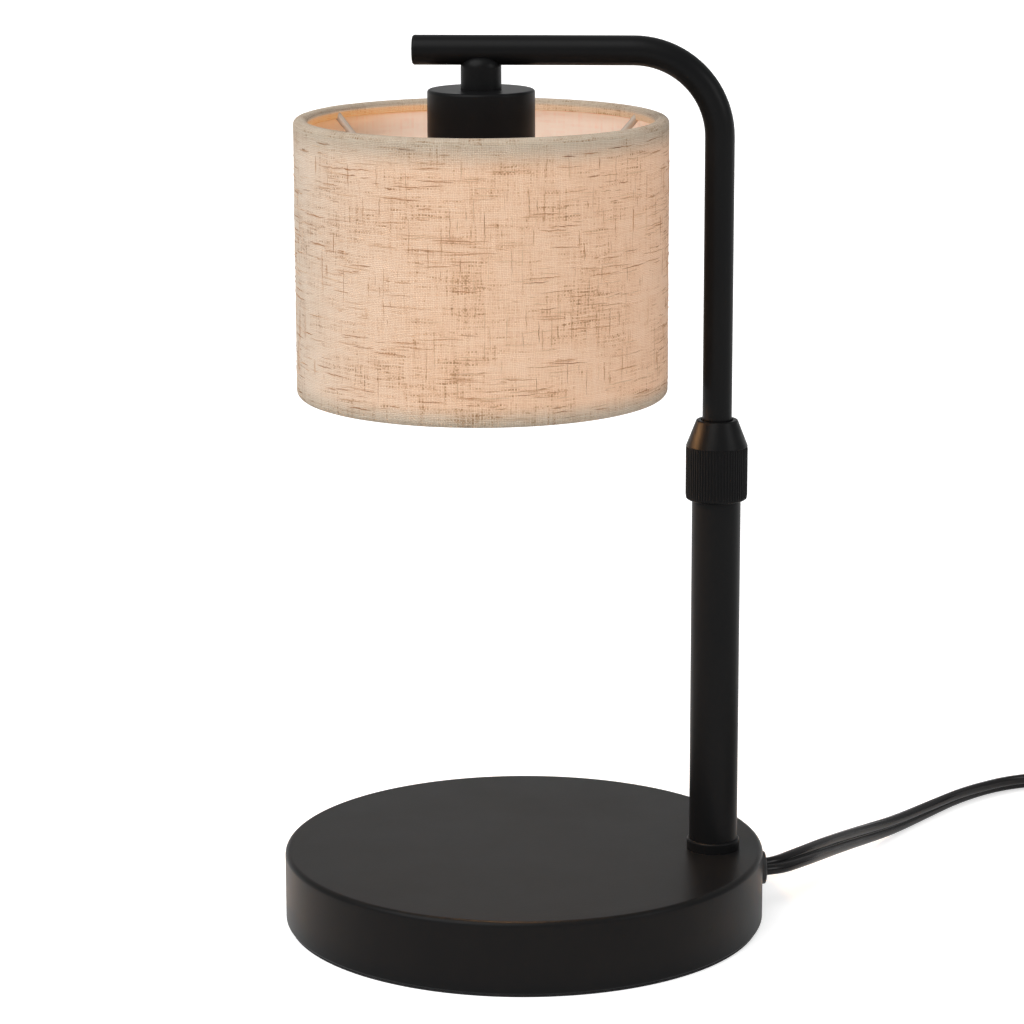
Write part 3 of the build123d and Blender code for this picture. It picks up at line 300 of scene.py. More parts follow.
# %% Line and sweep of the lead
def smooth_line(name, route, resolution=12):
    """The points of the NURBS spline that follows a route of hand-chosen points."""
    curve = bpy.data.curves.new(name, "CURVE")
    curve.dimensions = "3D"
    curve.resolution_u = resolution
    spline = curve.splines.new("NURBS")
    spline.points.add(len(route) - 1)
    for point, place in zip(spline.points, route):
        point.co = (*(x * MM for x in place), 1.0)
    spline.order_u = 3
    spline.use_endpoint_u = True
    return [v.co.copy() for v in baked(add_object(name, curve)).vertices]


def distances(line):
    """How far along the line each of its points lies."""
    far = [0.0]
    for before, here in zip(line, line[1:]):
        far.append(far[-1] + (here - before).length)
    return far


def roll_at(far, rolls):
    """The lead's roll at a distance, between (distance, degrees) pairs."""
    for (start, first), (end, second) in zip(rolls, rolls[1:]):
        if far <= end:
            return radians(first + (second - first) * (far - start) / (end - start))
    return radians(rolls[-1][1])


def twin_lead(name, line, rolls):
    """The section carried along the line. A roll of 0 stands it on its edge and 90 lays it flat."""
    outline = lead_section()
    points = []
    for index, (place, far) in enumerate(zip(line, distances(line))):
        along = (line[min(index + 1, len(line) - 1)] - line[max(index - 1, 0)]).normalized()
        side = along.cross(Vector((0, 0, 1))).normalized()
        roll = roll_at(far, rolls)
        wide = side.cross(along) * cos(roll) + side * sin(roll)
        thin = along.cross(wide)
        points += [place + wide * a + thin * b for a, b in outline]
    count = len(outline)
    faces = [face for r in range(len(line) - 1) for face in band(r * count, (r + 1) * count, count)]
    faces += [tuple(range(count)), tuple(range(len(points) - count, len(points)))]
    return make_piece(name, points, faces)


half_rolled = roll_at(0.5, ((0.0, 0.0), (1.0, 90.0)))
print("half way from 0 to 90 the lead rolls", round(degrees(half_rolled)), "degrees")

# %% [markdown]
# ## Where the lead lies
#
# The first stretch is the one that matters: out of the bushing, down to the table in a long sag, and away to
# the back in loose uneven bends until it reaches the dimmer. What is left over is put away as it comes in its
# box, wound into a round coil of two layers with three turns in each. A loop works the turns out: each turn
# keeps its radius for most of its way round and steps over by one lead's width in the same sixth of the
# circle.

# %% Route to the dimmer, in millimetres
base_radius = 75.0
exit_angle = radians(8.0)
exit_height = 13.6
before_dimmer = (212.0, 132.0, 5.2)
dimmer_start = (219.0, 109.0, 5.2)
dimmer_length = 62.0
dimmer_heading = atan2(dimmer_start[1] - before_dimmer[1], dimmer_start[0] - before_dimmer[0])
dimmer_way = (cos(dimmer_heading), sin(dimmer_heading), 0.0)


def out_of_base(radius):
    return (radius * cos(exit_angle), radius * sin(exit_angle), exit_height)


def ahead(start, far):
    """The point so far from the start in the direction in which the dimmer lies."""
    return tuple(x + far * way for x, way in zip(start, dimmer_way))


lead_route = [
    out_of_base(base_radius - 3.5),
    out_of_base(base_radius + 4.2),
    (87.6, 22.6, 13.3),
    (94.6, 36.8, 11.5),
    (102.4, 53.6, 8.9),
    (110.6, 70.2, 6.2),
    (119.8, 86.6, 4.0),
    (131.5, 105.6, 3.3),
    (146.5, 127.0, 3.3),
    (165.5, 143.2, 3.3),
    (192.0, 148.0, 3.3),
    before_dimmer,
    dimmer_start,
]
lead_line = smooth_line("lead_line", lead_route)
lead_length = distances(lead_line)[-1]
print("lead to the dimmer", round(lead_length, 3), "m")

# %% Route of the coil, in millimetres
link_straight = 9.0
dimmer_out = ahead(dimmer_start, dimmer_length)
link_route = [dimmer_out, ahead(dimmer_out, link_straight), (245.5, 32.5, 3.6), (252.3, 24.6, 3.3)]
plug_route = [(241.0, -46.0, 6.4), (230.0, -60.8, 8.0), (214.0, -62.5, 8.0)]

coil_middle = (213.8, -1.3)
coil_mean_radius = 37.0
coil_pitch = lead_width / MM
coil_start = 16.9
coil_leave = -21.8
coil_turns = 6
points_per_turn = 24
last_rise = 4.7
step_sector = 60.0
inward_steps = (300, 660)
outward_steps = (1380, 1740)
climb = 986
last_climb = 2066


def eased(turned, start):
    """0 before a step's sector, 1 after it, and a smooth rise between."""
    share = min(max((turned - start) / step_sector, 0.0), 1.0)
    return share * share * (3 - 2 * share)


def coil_route():
    """Clockwise: three turns inwards on the table, three outwards on top of them, and off over the last."""
    total = 360.0 * coil_turns + coil_start - coil_leave
    steps = round(total / 360.0 * points_per_turn)
    route = []
    for step in range(steps + 1):
        turned = total * step / steps
        inwards = sum(eased(turned, start) for start in inward_steps)
        outwards = sum(eased(turned, start) for start in outward_steps)
        radius = coil_mean_radius + coil_pitch * (1 - inwards + outwards)
        height = coil_pitch * (0.5 + eased(turned, climb)) + last_rise * eased(turned, last_climb)
        angle = radians(coil_start - turned)
        route.append((coil_middle[0] + radius * cos(angle), coil_middle[1] + radius * sin(angle), height))
    return route


rest_line = smooth_line("rest_line", link_route + coil_route() + plug_route, resolution=6)
rest_length = distances(rest_line)[-1]
print("the rest of the lead", round(rest_length, 3), "m")

# %% [markdown]
# ## Finishes that several parts share
#
# Every finish is worked out from the piece's own coordinates in metres, so a pattern has a real size and
# turns with the piece. `mottled` serves the plain materials: a colour and a roughness that wander a little,
# and a fine relief. The wander is small on purpose. New plastic or zinc is even, but never perfectly so.

# %% Mottled finish
noise_band = (0.3, 0.7)
wander_share = 0.12


def object_noise(tree, scale, detail=3.0, roughness=0.5):
    return noise_at(own_place(tree), scale, detail, roughness)


def spread(value, low, high):
    """The middle band of a noise laid over the range from low to high."""
    return map_range(value, *noise_band, low, high)


def two_tones(value, dark, light):
    return ramp(value, (noise_band[0], dark), (noise_band[1], light))


def mottled(name, dark, light, rough, grain=900.0, depth=0.00003, **constants):
    material, tree = new_material(name, **constants)
    wander = object_noise(tree, grain * wander_share)
    fine = object_noise(tree, grain)
    base = two_tones(wander, dark, light)
    return dress(material, base_color=base, roughness=spread(fine, *rough), normal=relief(fine, depth))


print("noise counts from", *noise_band)

# %% Shared finishes, with dark and light tone, roughness, grains per metre and depth
finishes |= {
    "zinc_steel": mottled("zinc steel", (0.42, 0.43, 0.45), (0.56, 0.57, 0.58), (0.28, 0.42), metallic=1.0),
    "ballast_iron": mottled(
        "cast iron", (0.035, 0.033, 0.032), (0.075, 0.068, 0.062), (0.6, 0.85), 420.0, 0.0003
    ),
    "foot_felt": mottled("felt", (0.012, 0.012, 0.013), (0.03, 0.03, 0.032), (0.9, 1.0), 2600.0, 0.0004),
    "black_plastic": mottled(
        "black plastic", (0.011, 0.011, 0.012), (0.016, 0.016, 0.017), (0.34, 0.46), 2200.0
    ),
    "wheel_plastic": mottled(
        "wheel plastic", (0.014, 0.014, 0.015), (0.022, 0.022, 0.023), (0.42, 0.55), 2200.0
    ),
    "plug_pvc": mottled("moulded plug", (0.012, 0.012, 0.013), (0.018, 0.018, 0.019), (0.36, 0.5), 1500.0),
    "tie_strap": mottled("strap", (0.012, 0.012, 0.012), (0.028, 0.028, 0.03), (0.75, 0.95), 3000.0, 0.0002),
    "contact_brass": mottled("brass", (0.66, 0.47, 0.2), (0.78, 0.58, 0.27), (0.2, 0.34), metallic=1.0),
    "natural_nylon": mottled(
        "nylon", (0.68, 0.65, 0.56), (0.78, 0.75, 0.67), (0.42, 0.55), subsurface_weight=0.15
    ),
    "core_sleeve": mottled("core sleeve", (0.66, 0.63, 0.57), (0.78, 0.75, 0.69), (0.5, 0.7), 2400.0, 0.0001),
    "holder_plastic": mottled(
        "holder plastic", (0.02, 0.02, 0.02), (0.032, 0.031, 0.03), (0.38, 0.5), 1200.0
    ),
    "circuit_board": mottled(
        "circuit board", (0.02, 0.1, 0.04), (0.035, 0.16, 0.07), (0.25, 0.4), 700.0, 0.00005
    ),
    "white_ceramic": mottled("ceramic", (0.74, 0.72, 0.68), (0.84, 0.82, 0.79), (0.5, 0.7), 1800.0, 0.00006),
    # The coated wire is off-white. Its colour here is darkened and warmed: painted shade and painted warm
    # light.
    "white_wire": mottled("coated wire", (0.5, 0.41, 0.33), (0.58, 0.48, 0.39), (0.34, 0.5), 1300.0, 0.00005),
}
print(len(finishes), "shared finishes")

# %% [markdown]
# ## Shapes that were turned
#
# Most of a lamp comes off a lathe. `rounded` takes the corners of a profile, each with its own rounding, and
# gives the outline with an arc in each corner. `turned` spins a closed outline about an upright axis. It can
# also lay a UV map that is measured in metres: round the piece one way and along the outline the other way,
# as cloth runs.

# %% Turning helpers
def rounded(corners, steps=5):
    """The outline through (radius, height, rounding) corners, in millimetres."""
    outline = []
    for index, (radius, height, size) in enumerate(corners):
        here = Vector((radius, height))
        if not size:
            outline.append(here)
            continue
        back = (Vector(corners[index - 1][:2]) - here).normalized()
        on = (Vector(corners[(index + 1) % len(corners)][:2]) - here).normalized()
        half = back.angle(on) / 2
        middle = here + (back + on).normalized() * size / sin(half)
        start = here + back * size / tan(half) - middle
        end = here + on * size / tan(half) - middle
        for step in range(steps + 1):
            share = step / steps
            outline.append(middle + (start * (1 - share) + end * share).normalized() * size)
    return outline


def turned(name, outline, centre=(0.0, 0.0), steps=96, sharp=SHARP, cloth_seam=None):
    """A closed outline in millimetres spun about an upright axis. A cloth map starts at its seam."""
    count = len(outline)
    points, faces, uvs = [], [], []
    for step in range(steps):
        angle = (cloth_seam or 0.0) + 2 * pi * step / steps
        for radius, height in outline:
            x, y = radius * MM * cos(angle), radius * MM * sin(angle)
            points.append((centre[0] + x, centre[1] + y, height * MM))
    along = [0.0]
    for index in range(count):
        along.append(along[-1] + (outline[(index + 1) % count] - outline[index]).length * MM)
    across = 2 * pi * max(p[0] for p in outline) * MM / steps
    for step in range(steps):
        here, there = step * count, (step + 1) % steps * count
        for k in range(count):
            after = (k + 1) % count
            faces.append((here + k, there + k, there + after, here + after))
            u, v = step * across, along[k]
            uvs += [(u, v), (u + across, v), (u + across, along[k + 1]), (u, along[k + 1])]
    return make_piece(name, points, faces, sharp, () if cloth_seam is None else uvs)


print("an outline with one round corner has", len(rounded([(0, 0, 0), (9, 0, 1), (9, 9, 0)])), "points")

# %% [markdown]
# ## Patterns made with geometry nodes
#
# Ridges and loose threads repeat by the dozen or the hundred. Each comes from a small geometry tree with
# named inputs. `grown` runs such a tree once, keeps the mesh it gives and drops the modifier, so that the
# finished piece is plain geometry like all others.

# %% Geometry tree helpers
def new_tree(name, **sockets):
    """A geometry tree and the sockets of its inputs. Float=["Length", "Width"] adds two numbers."""
    tree = bpy.data.node_groups.new(name, "GeometryNodeTree")
    for kind, labels in sockets.items():
        for label in labels:
            tree.interface.new_socket(label, in_out="INPUT", socket_type="NodeSocket" + kind)
    tree.interface.new_socket("Geometry", in_out="OUTPUT", socket_type="NodeSocketGeometry")
    return tree, node(tree, "NodeGroupInput").outputs


def finish_tree(tree, geometry, given):
    """The instances are made real, take the material that came in and leave the tree."""
    real = socket(tree, "GeometryNodeRealizeInstances", {"Geometry": geometry})
    dressed = socket(tree, "GeometryNodeSetMaterial", {"Geometry": real, "Material": given["Material"]})
    node(tree, "NodeGroupOutput", {"Geometry": dressed})
    return tree


def moved(geometry, place):
    return socket(geometry.id_data, "GeometryNodeSetPosition", {"Geometry": geometry, "Position": place})


def rod(tree, sides, segments, radius, length):
    sizes = {"Vertices": sides, "Side Segments": segments, "Radius": radius, "Depth": length}
    return socket(tree, "GeometryNodeMeshCylinder", sizes)


def tapered(made, place, share):
    """A rod drawn in to a share of its thickness, which may change along it."""
    slim = combine(made.id_data, share, share, 1.0)
    return moved(made, calc("MULTIPLY", place, slim, kind="ShaderNodeVectorMath"))


def on_points(tree, points, instance, **how):
    """An instance on each point. The name Rotation, Scale or Selection gives what that input takes."""
    return socket(tree, "GeometryNodeInstanceOnPoints", {"Points": points, "Instance": instance, **how})


def grown(name, tree, values):
    """The plain mesh that a geometry tree gives for the values of its inputs."""
    maker = add_object(name, bpy.data.meshes.new(name))
    modifier = maker.modifiers.new(name, "NODES")
    modifier.node_group = tree
    for item in tree.interface.items_tree:
        if item.name in values:
            modifier[item.identifier] = values[item.name]
    mesh = baked(maker)
    finish_mesh(mesh, SHARP)
    return add_object(name, mesh)


print("geometry trees so far", len(bpy.data.node_groups))

# %% [markdown]
# ## Ridges round a ring
#
# A grip is cut with fine upright ridges. The tree puts one small rounded bar at each point of a circle,
# turned to face outwards, so the number of ridges, their size and the ring's radius are all plain inputs.

# %% Ridge tree
bar_sides, bar_segments = 10, 14
bar_full, bar_end = 0.43, 0.5
bar_tip = 0.35


def ridge_tree():
    measures = ["Ring Radius", "Length", "Width"]
    tree, given = new_tree("ridges", Int=["Ridges"], Float=measures, Material=["Material"])
    sizes = {"Vertices": given["Ridges"], "Radius": given["Ring Radius"]}
    ring = socket(tree, "GeometryNodeMeshCircle", sizes)
    place = socket(tree, "GeometryNodeInputPosition")
    bar = rod(tree, bar_sides, bar_segments, times(given["Width"], 0.5), given["Length"])
    away = calc("ABSOLUTE", calc("DIVIDE", axes_of(place)["Z"], given["Length"]))
    bar = tapered(bar, place, map_range(away, bar_full, bar_end, 1.0, bar_tip))
    points = socket(tree, "GeometryNodeMeshToPoints", {"Mesh": ring})
    facing = socket(tree, "FunctionNodeAlignRotationToVector", {"Vector": place}, axis="X")
    return finish_tree(tree, on_points(tree, points, bar, Rotation=facing), given)


ridges = ridge_tree()


def ridge_ring(name, stand, body, slot, *nodes, count, radius, length, width):
    """Ridges round a ring whose middle and axis the matrix stand gives. Sizes in millimetres."""
    sizes = {"Ring Radius": radius * MM, "Length": length * MM, "Width": width * MM}
    piece = grown(name, ridges, {"Ridges": count, **sizes, "Material": finishes[slot]})
    piece.data.transform(stand)
    return settle(piece, body, slot, *nodes)


print("ridge tree", [item.name for item in ridges.interface.items_tree])

# %% [markdown]
# ## The lead and its finish
#
# Soft PVC has a clear gloss, a little broken up by handling and by the powder it is packed with. The rolls
# say how the first stretch twists: it leaves the bushing almost flat, stands up within seven centimetres and
# leans over to the other side where it lies free.

# %% Lead
def lead_finish():
    material, tree = new_material("lead PVC", specular_ior_level=0.22)
    wander = object_noise(tree, 60.0, 4.0)
    black = two_tones(wander, (0.004, 0.004, 0.005), (0.008, 0.0075, 0.0075))
    powdered = relief(object_noise(tree, 1400.0, 2.0), 0.00001)
    return dress(material, base_color=black, roughness=spread(wander, 0.16, 0.26), normal=powdered)


finishes["lead_pvc"] = lead_finish()
lead_rolls = [
    (0.0, -76.0),
    (0.018, -50.0),
    (0.04, -23.0),
    (0.073, -3.0),
    (0.108, 17.0),
    (0.152, 42.0),
    (0.19, 48.0),
    (lead_length, 90.0),
]
rest_rolls = [
    (0.0, 90.0),
    (0.06, 45.0),
    (rest_length - 0.17, 45.0),
    (rest_length - 0.1, 88.0),
    (rest_length, 90.0),
]

flat_lead = settle(twin_lead("flat_lead", lead_line, lead_rolls), "base", "lead_pvc", "cord_lead")
coiled_lead = twin_lead("coiled_lead", rest_line, rest_rolls)
settle(coiled_lead, "base", "lead_pvc", "cord_link", "cord_coil", "cord_end")

# %% [markdown]
# ## The plug
#
# The plug is moulded onto the lead. Its sleeve has cross ribs, so that it bends in an even curve, and each of
# the two flat blades has a hole near its tip and rounded corners. A sleeve is turned upright and laid down
# afterwards. A blade is a flat curve with the hole as a second loop, given its thickness and its bevel by the
# curve itself.

# %% Ribs of the plug's sleeve
plug_turn = atan2(plug_route[-1][1] - plug_route[-2][1], plug_route[-1][0] - plug_route[-2][0])
plug_frame = Matrix.Translation(Vector(plug_route[-1]) * MM) @ Matrix.Rotation(plug_turn, 4, "Z")
sleeve_bore, sleeve_start, sleeve_end = 3.2, 0.4, 18.0
rib_count = 6
first_rib, rib_pitch, rib_width = 1.0, 2.7, 2.0
rib_depth = 0.9
crest_start, crest_end = 0.3, 1.7
crest_radius, crest_growth = 4.35, 0.1


def rib_outline():
    """A ribbed sleeve that widens towards the plug, cut down to a thin core between its ribs."""
    outline = [(sleeve_bore, sleeve_start), (sleeve_bore, sleeve_end)]
    for rib in reversed(range(rib_count)):
        low = first_rib + rib * rib_pitch
        crest = crest_radius + crest_growth * low
        core = crest - rib_depth
        outline += [(core, low + rib_width), (crest, low + crest_end)]
        outline += [(crest, low + crest_start), (core, low)]
    return [Vector(corner) for corner in outline]


relief_ribs = turned("relief_ribs", rib_outline(), steps=40, sharp=radians(30))
relief_ribs.data.transform(plug_frame @ Matrix.Rotation(pi / 2, 4, "Y"))
settle(relief_ribs, "base", "plug_pvc")

# %% Blades of the plug
plug_face = 41.0
blade_long, blade_wide, blade_thick = 16.5, 6.3, 1.5
blade_corner = 1.2
blade_spacing = 12.7
blade_bevel = 0.2
hole_radius = 1.6
hole_from_tip = 4.5


def blade(name, across):
    """One blade as a flat curve with rounded corners and a round hole, in the plug's own directions."""
    curve = bpy.data.curves.new(name, "CURVE")
    curve.dimensions = "2D"
    curve.fill_mode = "BOTH"
    curve.extrude = (blade_thick / 2 - blade_bevel) * MM
    curve.bevel_depth = blade_bevel * MM
    curve.offset = -blade_bevel * MM
    curve.resolution_u = 4
    half, shoulder = blade_wide / 2, blade_long - blade_corner
    edge = [(0, -half), (shoulder, -half), (blade_long, -half + blade_corner)]
    edge += [(x, -y) for x, y in reversed(edge)]
    turns = [turn * pi / 12 for turn in range(24)]
    hole = [(blade_long - hole_from_tip + hole_radius * cos(turn), hole_radius * sin(turn)) for turn in turns]
    for loop in (edge, hole):
        spline = curve.splines.new("POLY")
        spline.points.add(len(loop) - 1)
        for point, (x, y) in zip(spline.points, loop):
            point.co = (x * MM, y * MM, 0.0, 1.0)
        spline.use_cyclic_u = True
    mesh = baked(add_object(name, curve))
    mesh.transform(Matrix.Translation((plug_face * MM, across * MM, 0.0)) @ Matrix.Rotation(pi / 2, 4, "X"))
    return mesh


points, faces = [], []
for side in (-1, 1):
    mesh = blade("blade", side * blade_spacing / 2)
    faces += [tuple(len(points) + v for v in face.vertices) for face in mesh.polygons]
    points += [plug_frame @ v.co for v in mesh.vertices]
punched_blades = make_piece("punched_blades", points, faces, radians(30))
settle(punched_blades, "base", "contact_brass", "plug_blades")

# %% [markdown]
# ## The dimmer's wheel
#
# The wheel is turned with a fingertip, so its rim is knurled. The ridges come from the same tree as the
# collar's, laid along the wheel's own axle.

# %% Wheel ridges
wheel_height = 11.6
wheel_middle = Vector((*ahead(dimmer_start, dimmer_length / 2)[:2], wheel_height))
wheel_axle = Vector((-dimmer_way[1], dimmer_way[0], 0.0))
wheel_turn = wheel_axle.to_track_quat("Z", "Y").to_matrix().to_4x4()
wheel_stand = Matrix.Translation(wheel_middle * MM) @ wheel_turn
wheel_sizes = {"count": 44, "radius": 7.85, "length": 4.4, "width": 0.7}
wheel_ridges = ridge_ring("wheel_ridges", wheel_stand, "dimmer_wheel", "wheel_plastic", **wheel_sizes)

# %% [markdown]
# ## Black powder coat
#
# Powder coat is sprayed on dry and baked. It comes out a soft satin black with a fine orange peel, a little
# duller where it lies thicker. The tubes, the cap at the arm's end and the cup over the socket have it too,
# and their shapes are right as they are, so they only take the finish.

# %% Powder coat
def powder_coat():
    material, tree = new_material("powder coat", specular_ior_level=0.09)
    cloudy = object_noise(tree, 35.0)
    black = two_tones(cloudy, (0.0056, 0.0058, 0.0062), (0.0072, 0.0072, 0.0074))
    peel = relief(object_noise(tree, 1100.0, 2.0, 0.6), 0.000012)
    grain = relief(object_noise(tree, 5200.0, 2.0), 0.000005, Normal=peel)
    return dress(material, base_color=black, roughness=spread(cloudy, 0.335, 0.375), normal=grain)


finishes["black_powder_coat"] = powder_coat()
print("powder coat has", len(finishes["black_powder_coat"].node_tree.nodes), "nodes")

# %% [markdown]
# ## The base's shell
#
# The shell is spun from sheet steel: a flat top, a fine round edge and an upright wall that is turned in a
# little over the pad. It is turned anew in fine steps, because a long soft edge shows every facet. Its two
# holes lie hidden under the post and under the cord's bushing.

# %% Base shell
shell_high, pad_high, shell_wall = 23.5, 1.0, 1.0
shell_inner = base_radius - shell_wall
foot_room, edge_room = 1.2, 2.0
shell_corners = [
    (shell_inner, pad_high, 0),
    (base_radius, pad_high, 0.8),
    (base_radius, pad_high + foot_room, 0),
    (base_radius, shell_high - edge_room, 0),
    (base_radius, shell_high, 1.6),
    (base_radius - edge_room, shell_high, 0),
    (0.0, shell_high, 0),
    (0.0, shell_high - shell_wall, 0),
    (shell_inner, shell_high - shell_wall, 0),
]
shell = turned("spun_shell", rounded(shell_corners, steps=10), steps=240, sharp=radians(50))
settle(shell, "base", "black_powder_coat", "base_shell")

# %% [markdown]
# ## The collar that clamps the arm
#
# A knurled collar screws down over the slotted top of the post. Its lower two thirds are a grip of fine
# upright ridges that run down into its rounded bottom edge. Above a crisp corner it is a smooth cone that
# closes on the arm.

# %% Collar
post_middle = (0.0593, 0.0)
collar_bottom, band_top, collar_top = 135.4, 152.3, 160.3
thread_top, cone_low, cone_high = 146.1, 152.2, 158.2
grip_radius = 9.24
lip_radius = 9.46
lip_under, lip_low = 0.12, 0.3
tip_radius = 6.3
skirt_bore, thread_bore, arm_bore = 7.62, 7.25, 4.95
cone_bore_low, cone_bore_high = 6.8, 5.7

collar_corners = [
    (skirt_bore, collar_bottom, 0.2),
    (grip_radius, collar_bottom, 0.9),
    (grip_radius, band_top - lip_low, 0.1),
    (lip_radius, band_top - lip_under, 0.1),
    (tip_radius, collar_top, 0.55),
    (arm_bore, collar_top, 0.3),
    (arm_bore, cone_high, 0),
    (cone_bore_high, cone_high, 0),
    (cone_bore_low, cone_low, 0),
    (thread_bore, cone_low, 0),
    (thread_bore, thread_top, 0),
    (skirt_bore, thread_top, 0),
]
collar = turned("collar_body", rounded(collar_corners), post_middle, steps=128, sharp=radians(50))
settle(collar, "collar", "black_powder_coat", "clamp_collar")

# %% Grip of the collar
grip_low, grip_short, ridge_sunk = 0.6, 0.2, 0.06
grip_stand = Matrix.Translation((*post_middle, (collar_bottom + grip_low + band_top) / 2 * MM))
grip_length = band_top - collar_bottom - grip_short
grip_sizes = {"count": 64, "radius": grip_radius - ridge_sunk, "length": grip_length, "width": 0.62}
ridge_ring("collar_grip", grip_stand, "collar", "black_powder_coat", "clamp_collar", **grip_sizes)

# %% [markdown]
# ## The linen shade: cloth over two rings
#
# The shade is a strip of coarse linen bonded to a thin liner. At the top and bottom the strip is rolled over
# a wire ring and folded back inside, which leaves a soft rounded rim. The ends of the strip overlap in one
# upright seam at the back, a hair prouder than the rest.
#
# The skin's outline is closed: over the top rim from the outside, down the inner fold, back up to the wall,
# down to the lower rim and out again. The cloth is then made a little uneven, as it never lies quite true on
# its rings.

# %% Shape of the linen
shade_middle = (-0.0125, 0.0)
shade_radius = 56.7
shade_low, shade_high = 168.0, 252.4
cloth_thickness = 0.6
fold_radius = 52.45
fold_depth = 3.6
cloth_inner = shade_radius - cloth_thickness
seam_angle = radians(144)
lap_width = 9.0 * MM
lap_rise = 0.28 * MM
cloth_wave = 0.14 * MM
waves_across, waves_up = 28, 60
wall_rows, long_run = 36, 20.0


def rim(end, way):
    """The corners of a rolled rim, from the outside in and back. Its way is 1 at the top and -1 below."""
    under = end - way * cloth_thickness
    fold_end = end - way * fold_depth
    fold_outer = fold_radius + cloth_thickness
    return [
        (shade_radius, end, 1.75),
        (fold_radius, end, 1.6),
        (fold_radius, fold_end, 0.25),
        (fold_outer, fold_end, 0.25),
        (fold_outer, under, 0.95),
        (cloth_inner, under, 1.1),
    ]


def with_rows(outline):
    """The outline with its long straight runs divided, so that the cloth can be uneven along them."""
    dense = []
    for index, here in enumerate(outline):
        after = outline[(index + 1) % len(outline)]
        parts = wall_rows if (after - here).length > long_run else 1
        dense += [here.lerp(after, part / parts) for part in range(parts)]
    return dense


def lay_unevenly(mesh):
    """Pulls the cloth in by a slow wave, and lifts the strip where its two ends overlap."""
    for vertex in mesh.vertices:
        x, y, z = vertex.co
        offset = Vector((x - shade_middle[0], y - shade_middle[1], 0.0))
        wave = noise.noise(Vector((x * waves_across, y * waves_across, z * waves_up)))
        shift = -cloth_wave * (0.5 + 0.5 * wave)
        turn = (atan2(offset.y, offset.x) - seam_angle) % (2 * pi)
        if turn * offset.length < lap_width:
            shift += lap_rise
        vertex.co += offset.normalized() * shift


skin_outline = with_rows(rounded(rim(shade_high, 1) + rim(shade_low, -1)[::-1], steps=6))
print("the skin's outline has", len(skin_outline), "points")

# %% [markdown]
# ## The weave
#
# Plain weave is a chequer of threads that pass over and under each other, here two to the millimetre. The
# material works on a UV map in metres. It numbers the threads both ways, gives each a round back, and lets
# the one that is on top show. Every thread has a tone of its own that wanders along its length, and now and
# then a raw brown stretch, which is what gives linen its dashes.

# %% Threads
thread_pitch = 0.0005
tones_per_metre = 85.0
next_thread = 7.31
thread_sway = 1.2
under_depth = 0.55


def thread_tone(along, index, seed):
    """The tone of a numbered thread at a distance along it. In the noise the threads lie far apart."""
    run = combine(along.id_data, times(along, tones_per_metre), times(index, next_thread), seed)
    return noise_at(run, 1.0, 3.0, 0.62)


def cloth_map(tree):
    return socket(tree, "ShaderNodeUVMap", uv_map="cloth")


def weave(cloth):
    """The tone of the thread on top and its height, at a place on the cloth."""
    axes = axes_of(cloth)
    sway = scaled(noise_at(cloth, 150.0), 2 * thread_sway * thread_pitch, -thread_sway * thread_pitch)
    numbers = [calc("DIVIDE", calc("ADD", axes[way], sway), thread_pitch) for way in ("X", "Y")]
    upright, level = [calc("FLOOR", number) for number in numbers]
    backs = [calc("SINE", times(calc("FRACT", number), pi)) for number in numbers]
    upright_over = calc("PINGPONG", calc("ADD", upright, level), 1.0)
    upright_back = times(backs[0], scaled(upright_over, under_depth, 1.0 - under_depth))
    level_back = times(backs[1], scaled(upright_over, -under_depth, 1.0))
    level_shows = scaled(calc("GREATER_THAN", level_back, upright_back), 0.5, 0.25)
    upright_tone = scaled(thread_tone(axes["Y"], upright, 11.2), 0.9, 0.02)
    shown = {0: level_shows, 2: upright_tone, 3: thread_tone(axes["X"], level, 3.7)}
    tone = socket(cloth.id_data, "ShaderNodeMix", shown)
    for scale, share in ((45.0, 0.36), (1700.0, 0.34)):
        tone = calc("ADD", tone, scaled(noise_at(cloth, scale), share, -share / 2))
    return tone, calc("MAXIMUM", upright_back, level_back)


print(round(MM / thread_pitch), "threads to the millimetre")

# %% [markdown]
# ## The light in the cloth
#
# The bulb's light through the cloth is painted on as a glow. The wall glows more between the threads than on
# them, and not where the cloth is doubled round the rings. A painted glow lies on the inner fold too, golden
# at the end away from the post, and the painted glow swells towards the front right. Each of these shares is
# worked out from the drum's own coordinates, so it turns with the arm.

# %% Places on the drum
hem_shown = 5.2 * MM
half_height = (shade_high - shade_low) / 2
# The way round the drum towards which the painted glow swells.
painted_glow_way = radians(-65)


def from_middle(tree):
    """The distance from the drum's middle height."""
    middle = (shade_low + shade_high) / 2 * MM
    return calc("ABSOLUTE", calc("SUBTRACT", axes_of(own_place(tree))["Z"], middle))


def wall_share(tree):
    """0 in the doubled rims and 1 on the single wall between them."""
    height = axes_of(own_place(tree))["Z"]
    above = smooth_step(height, shade_low * MM + 0.15 * hem_shown, shade_low * MM + 1.4 * hem_shown)
    below = smooth_step(height, shade_high * MM - 0.3 * hem_shown, shade_high * MM - 2.0 * hem_shown)
    return times(above, below)


def inner_side(tree):
    """1 low on the fold inside the rings, where a painted glow lies, and 0 outside."""
    axes = axes_of(own_place(tree))
    flat = combine(tree, calc("SUBTRACT", axes["X"], shade_middle[0]), axes["Y"], 0.0)
    away = calc("LENGTH", flat, kind="ShaderNodeVectorMath", take="Value")
    within = smooth_step(away, (fold_radius + 1.4) * MM, (fold_radius + 0.2) * MM)
    return times(within, smooth_step(from_middle(tree), (half_height - 0.9) * MM, (half_height - 2.1) * MM))


def painted_golden_side(tree, start, end):
    """0 on most of the drum and 1 towards its far end, away from the post, where the painted glow is golden.
    """
    return smooth_step(axes_of(own_place(tree))["X"], start, end)


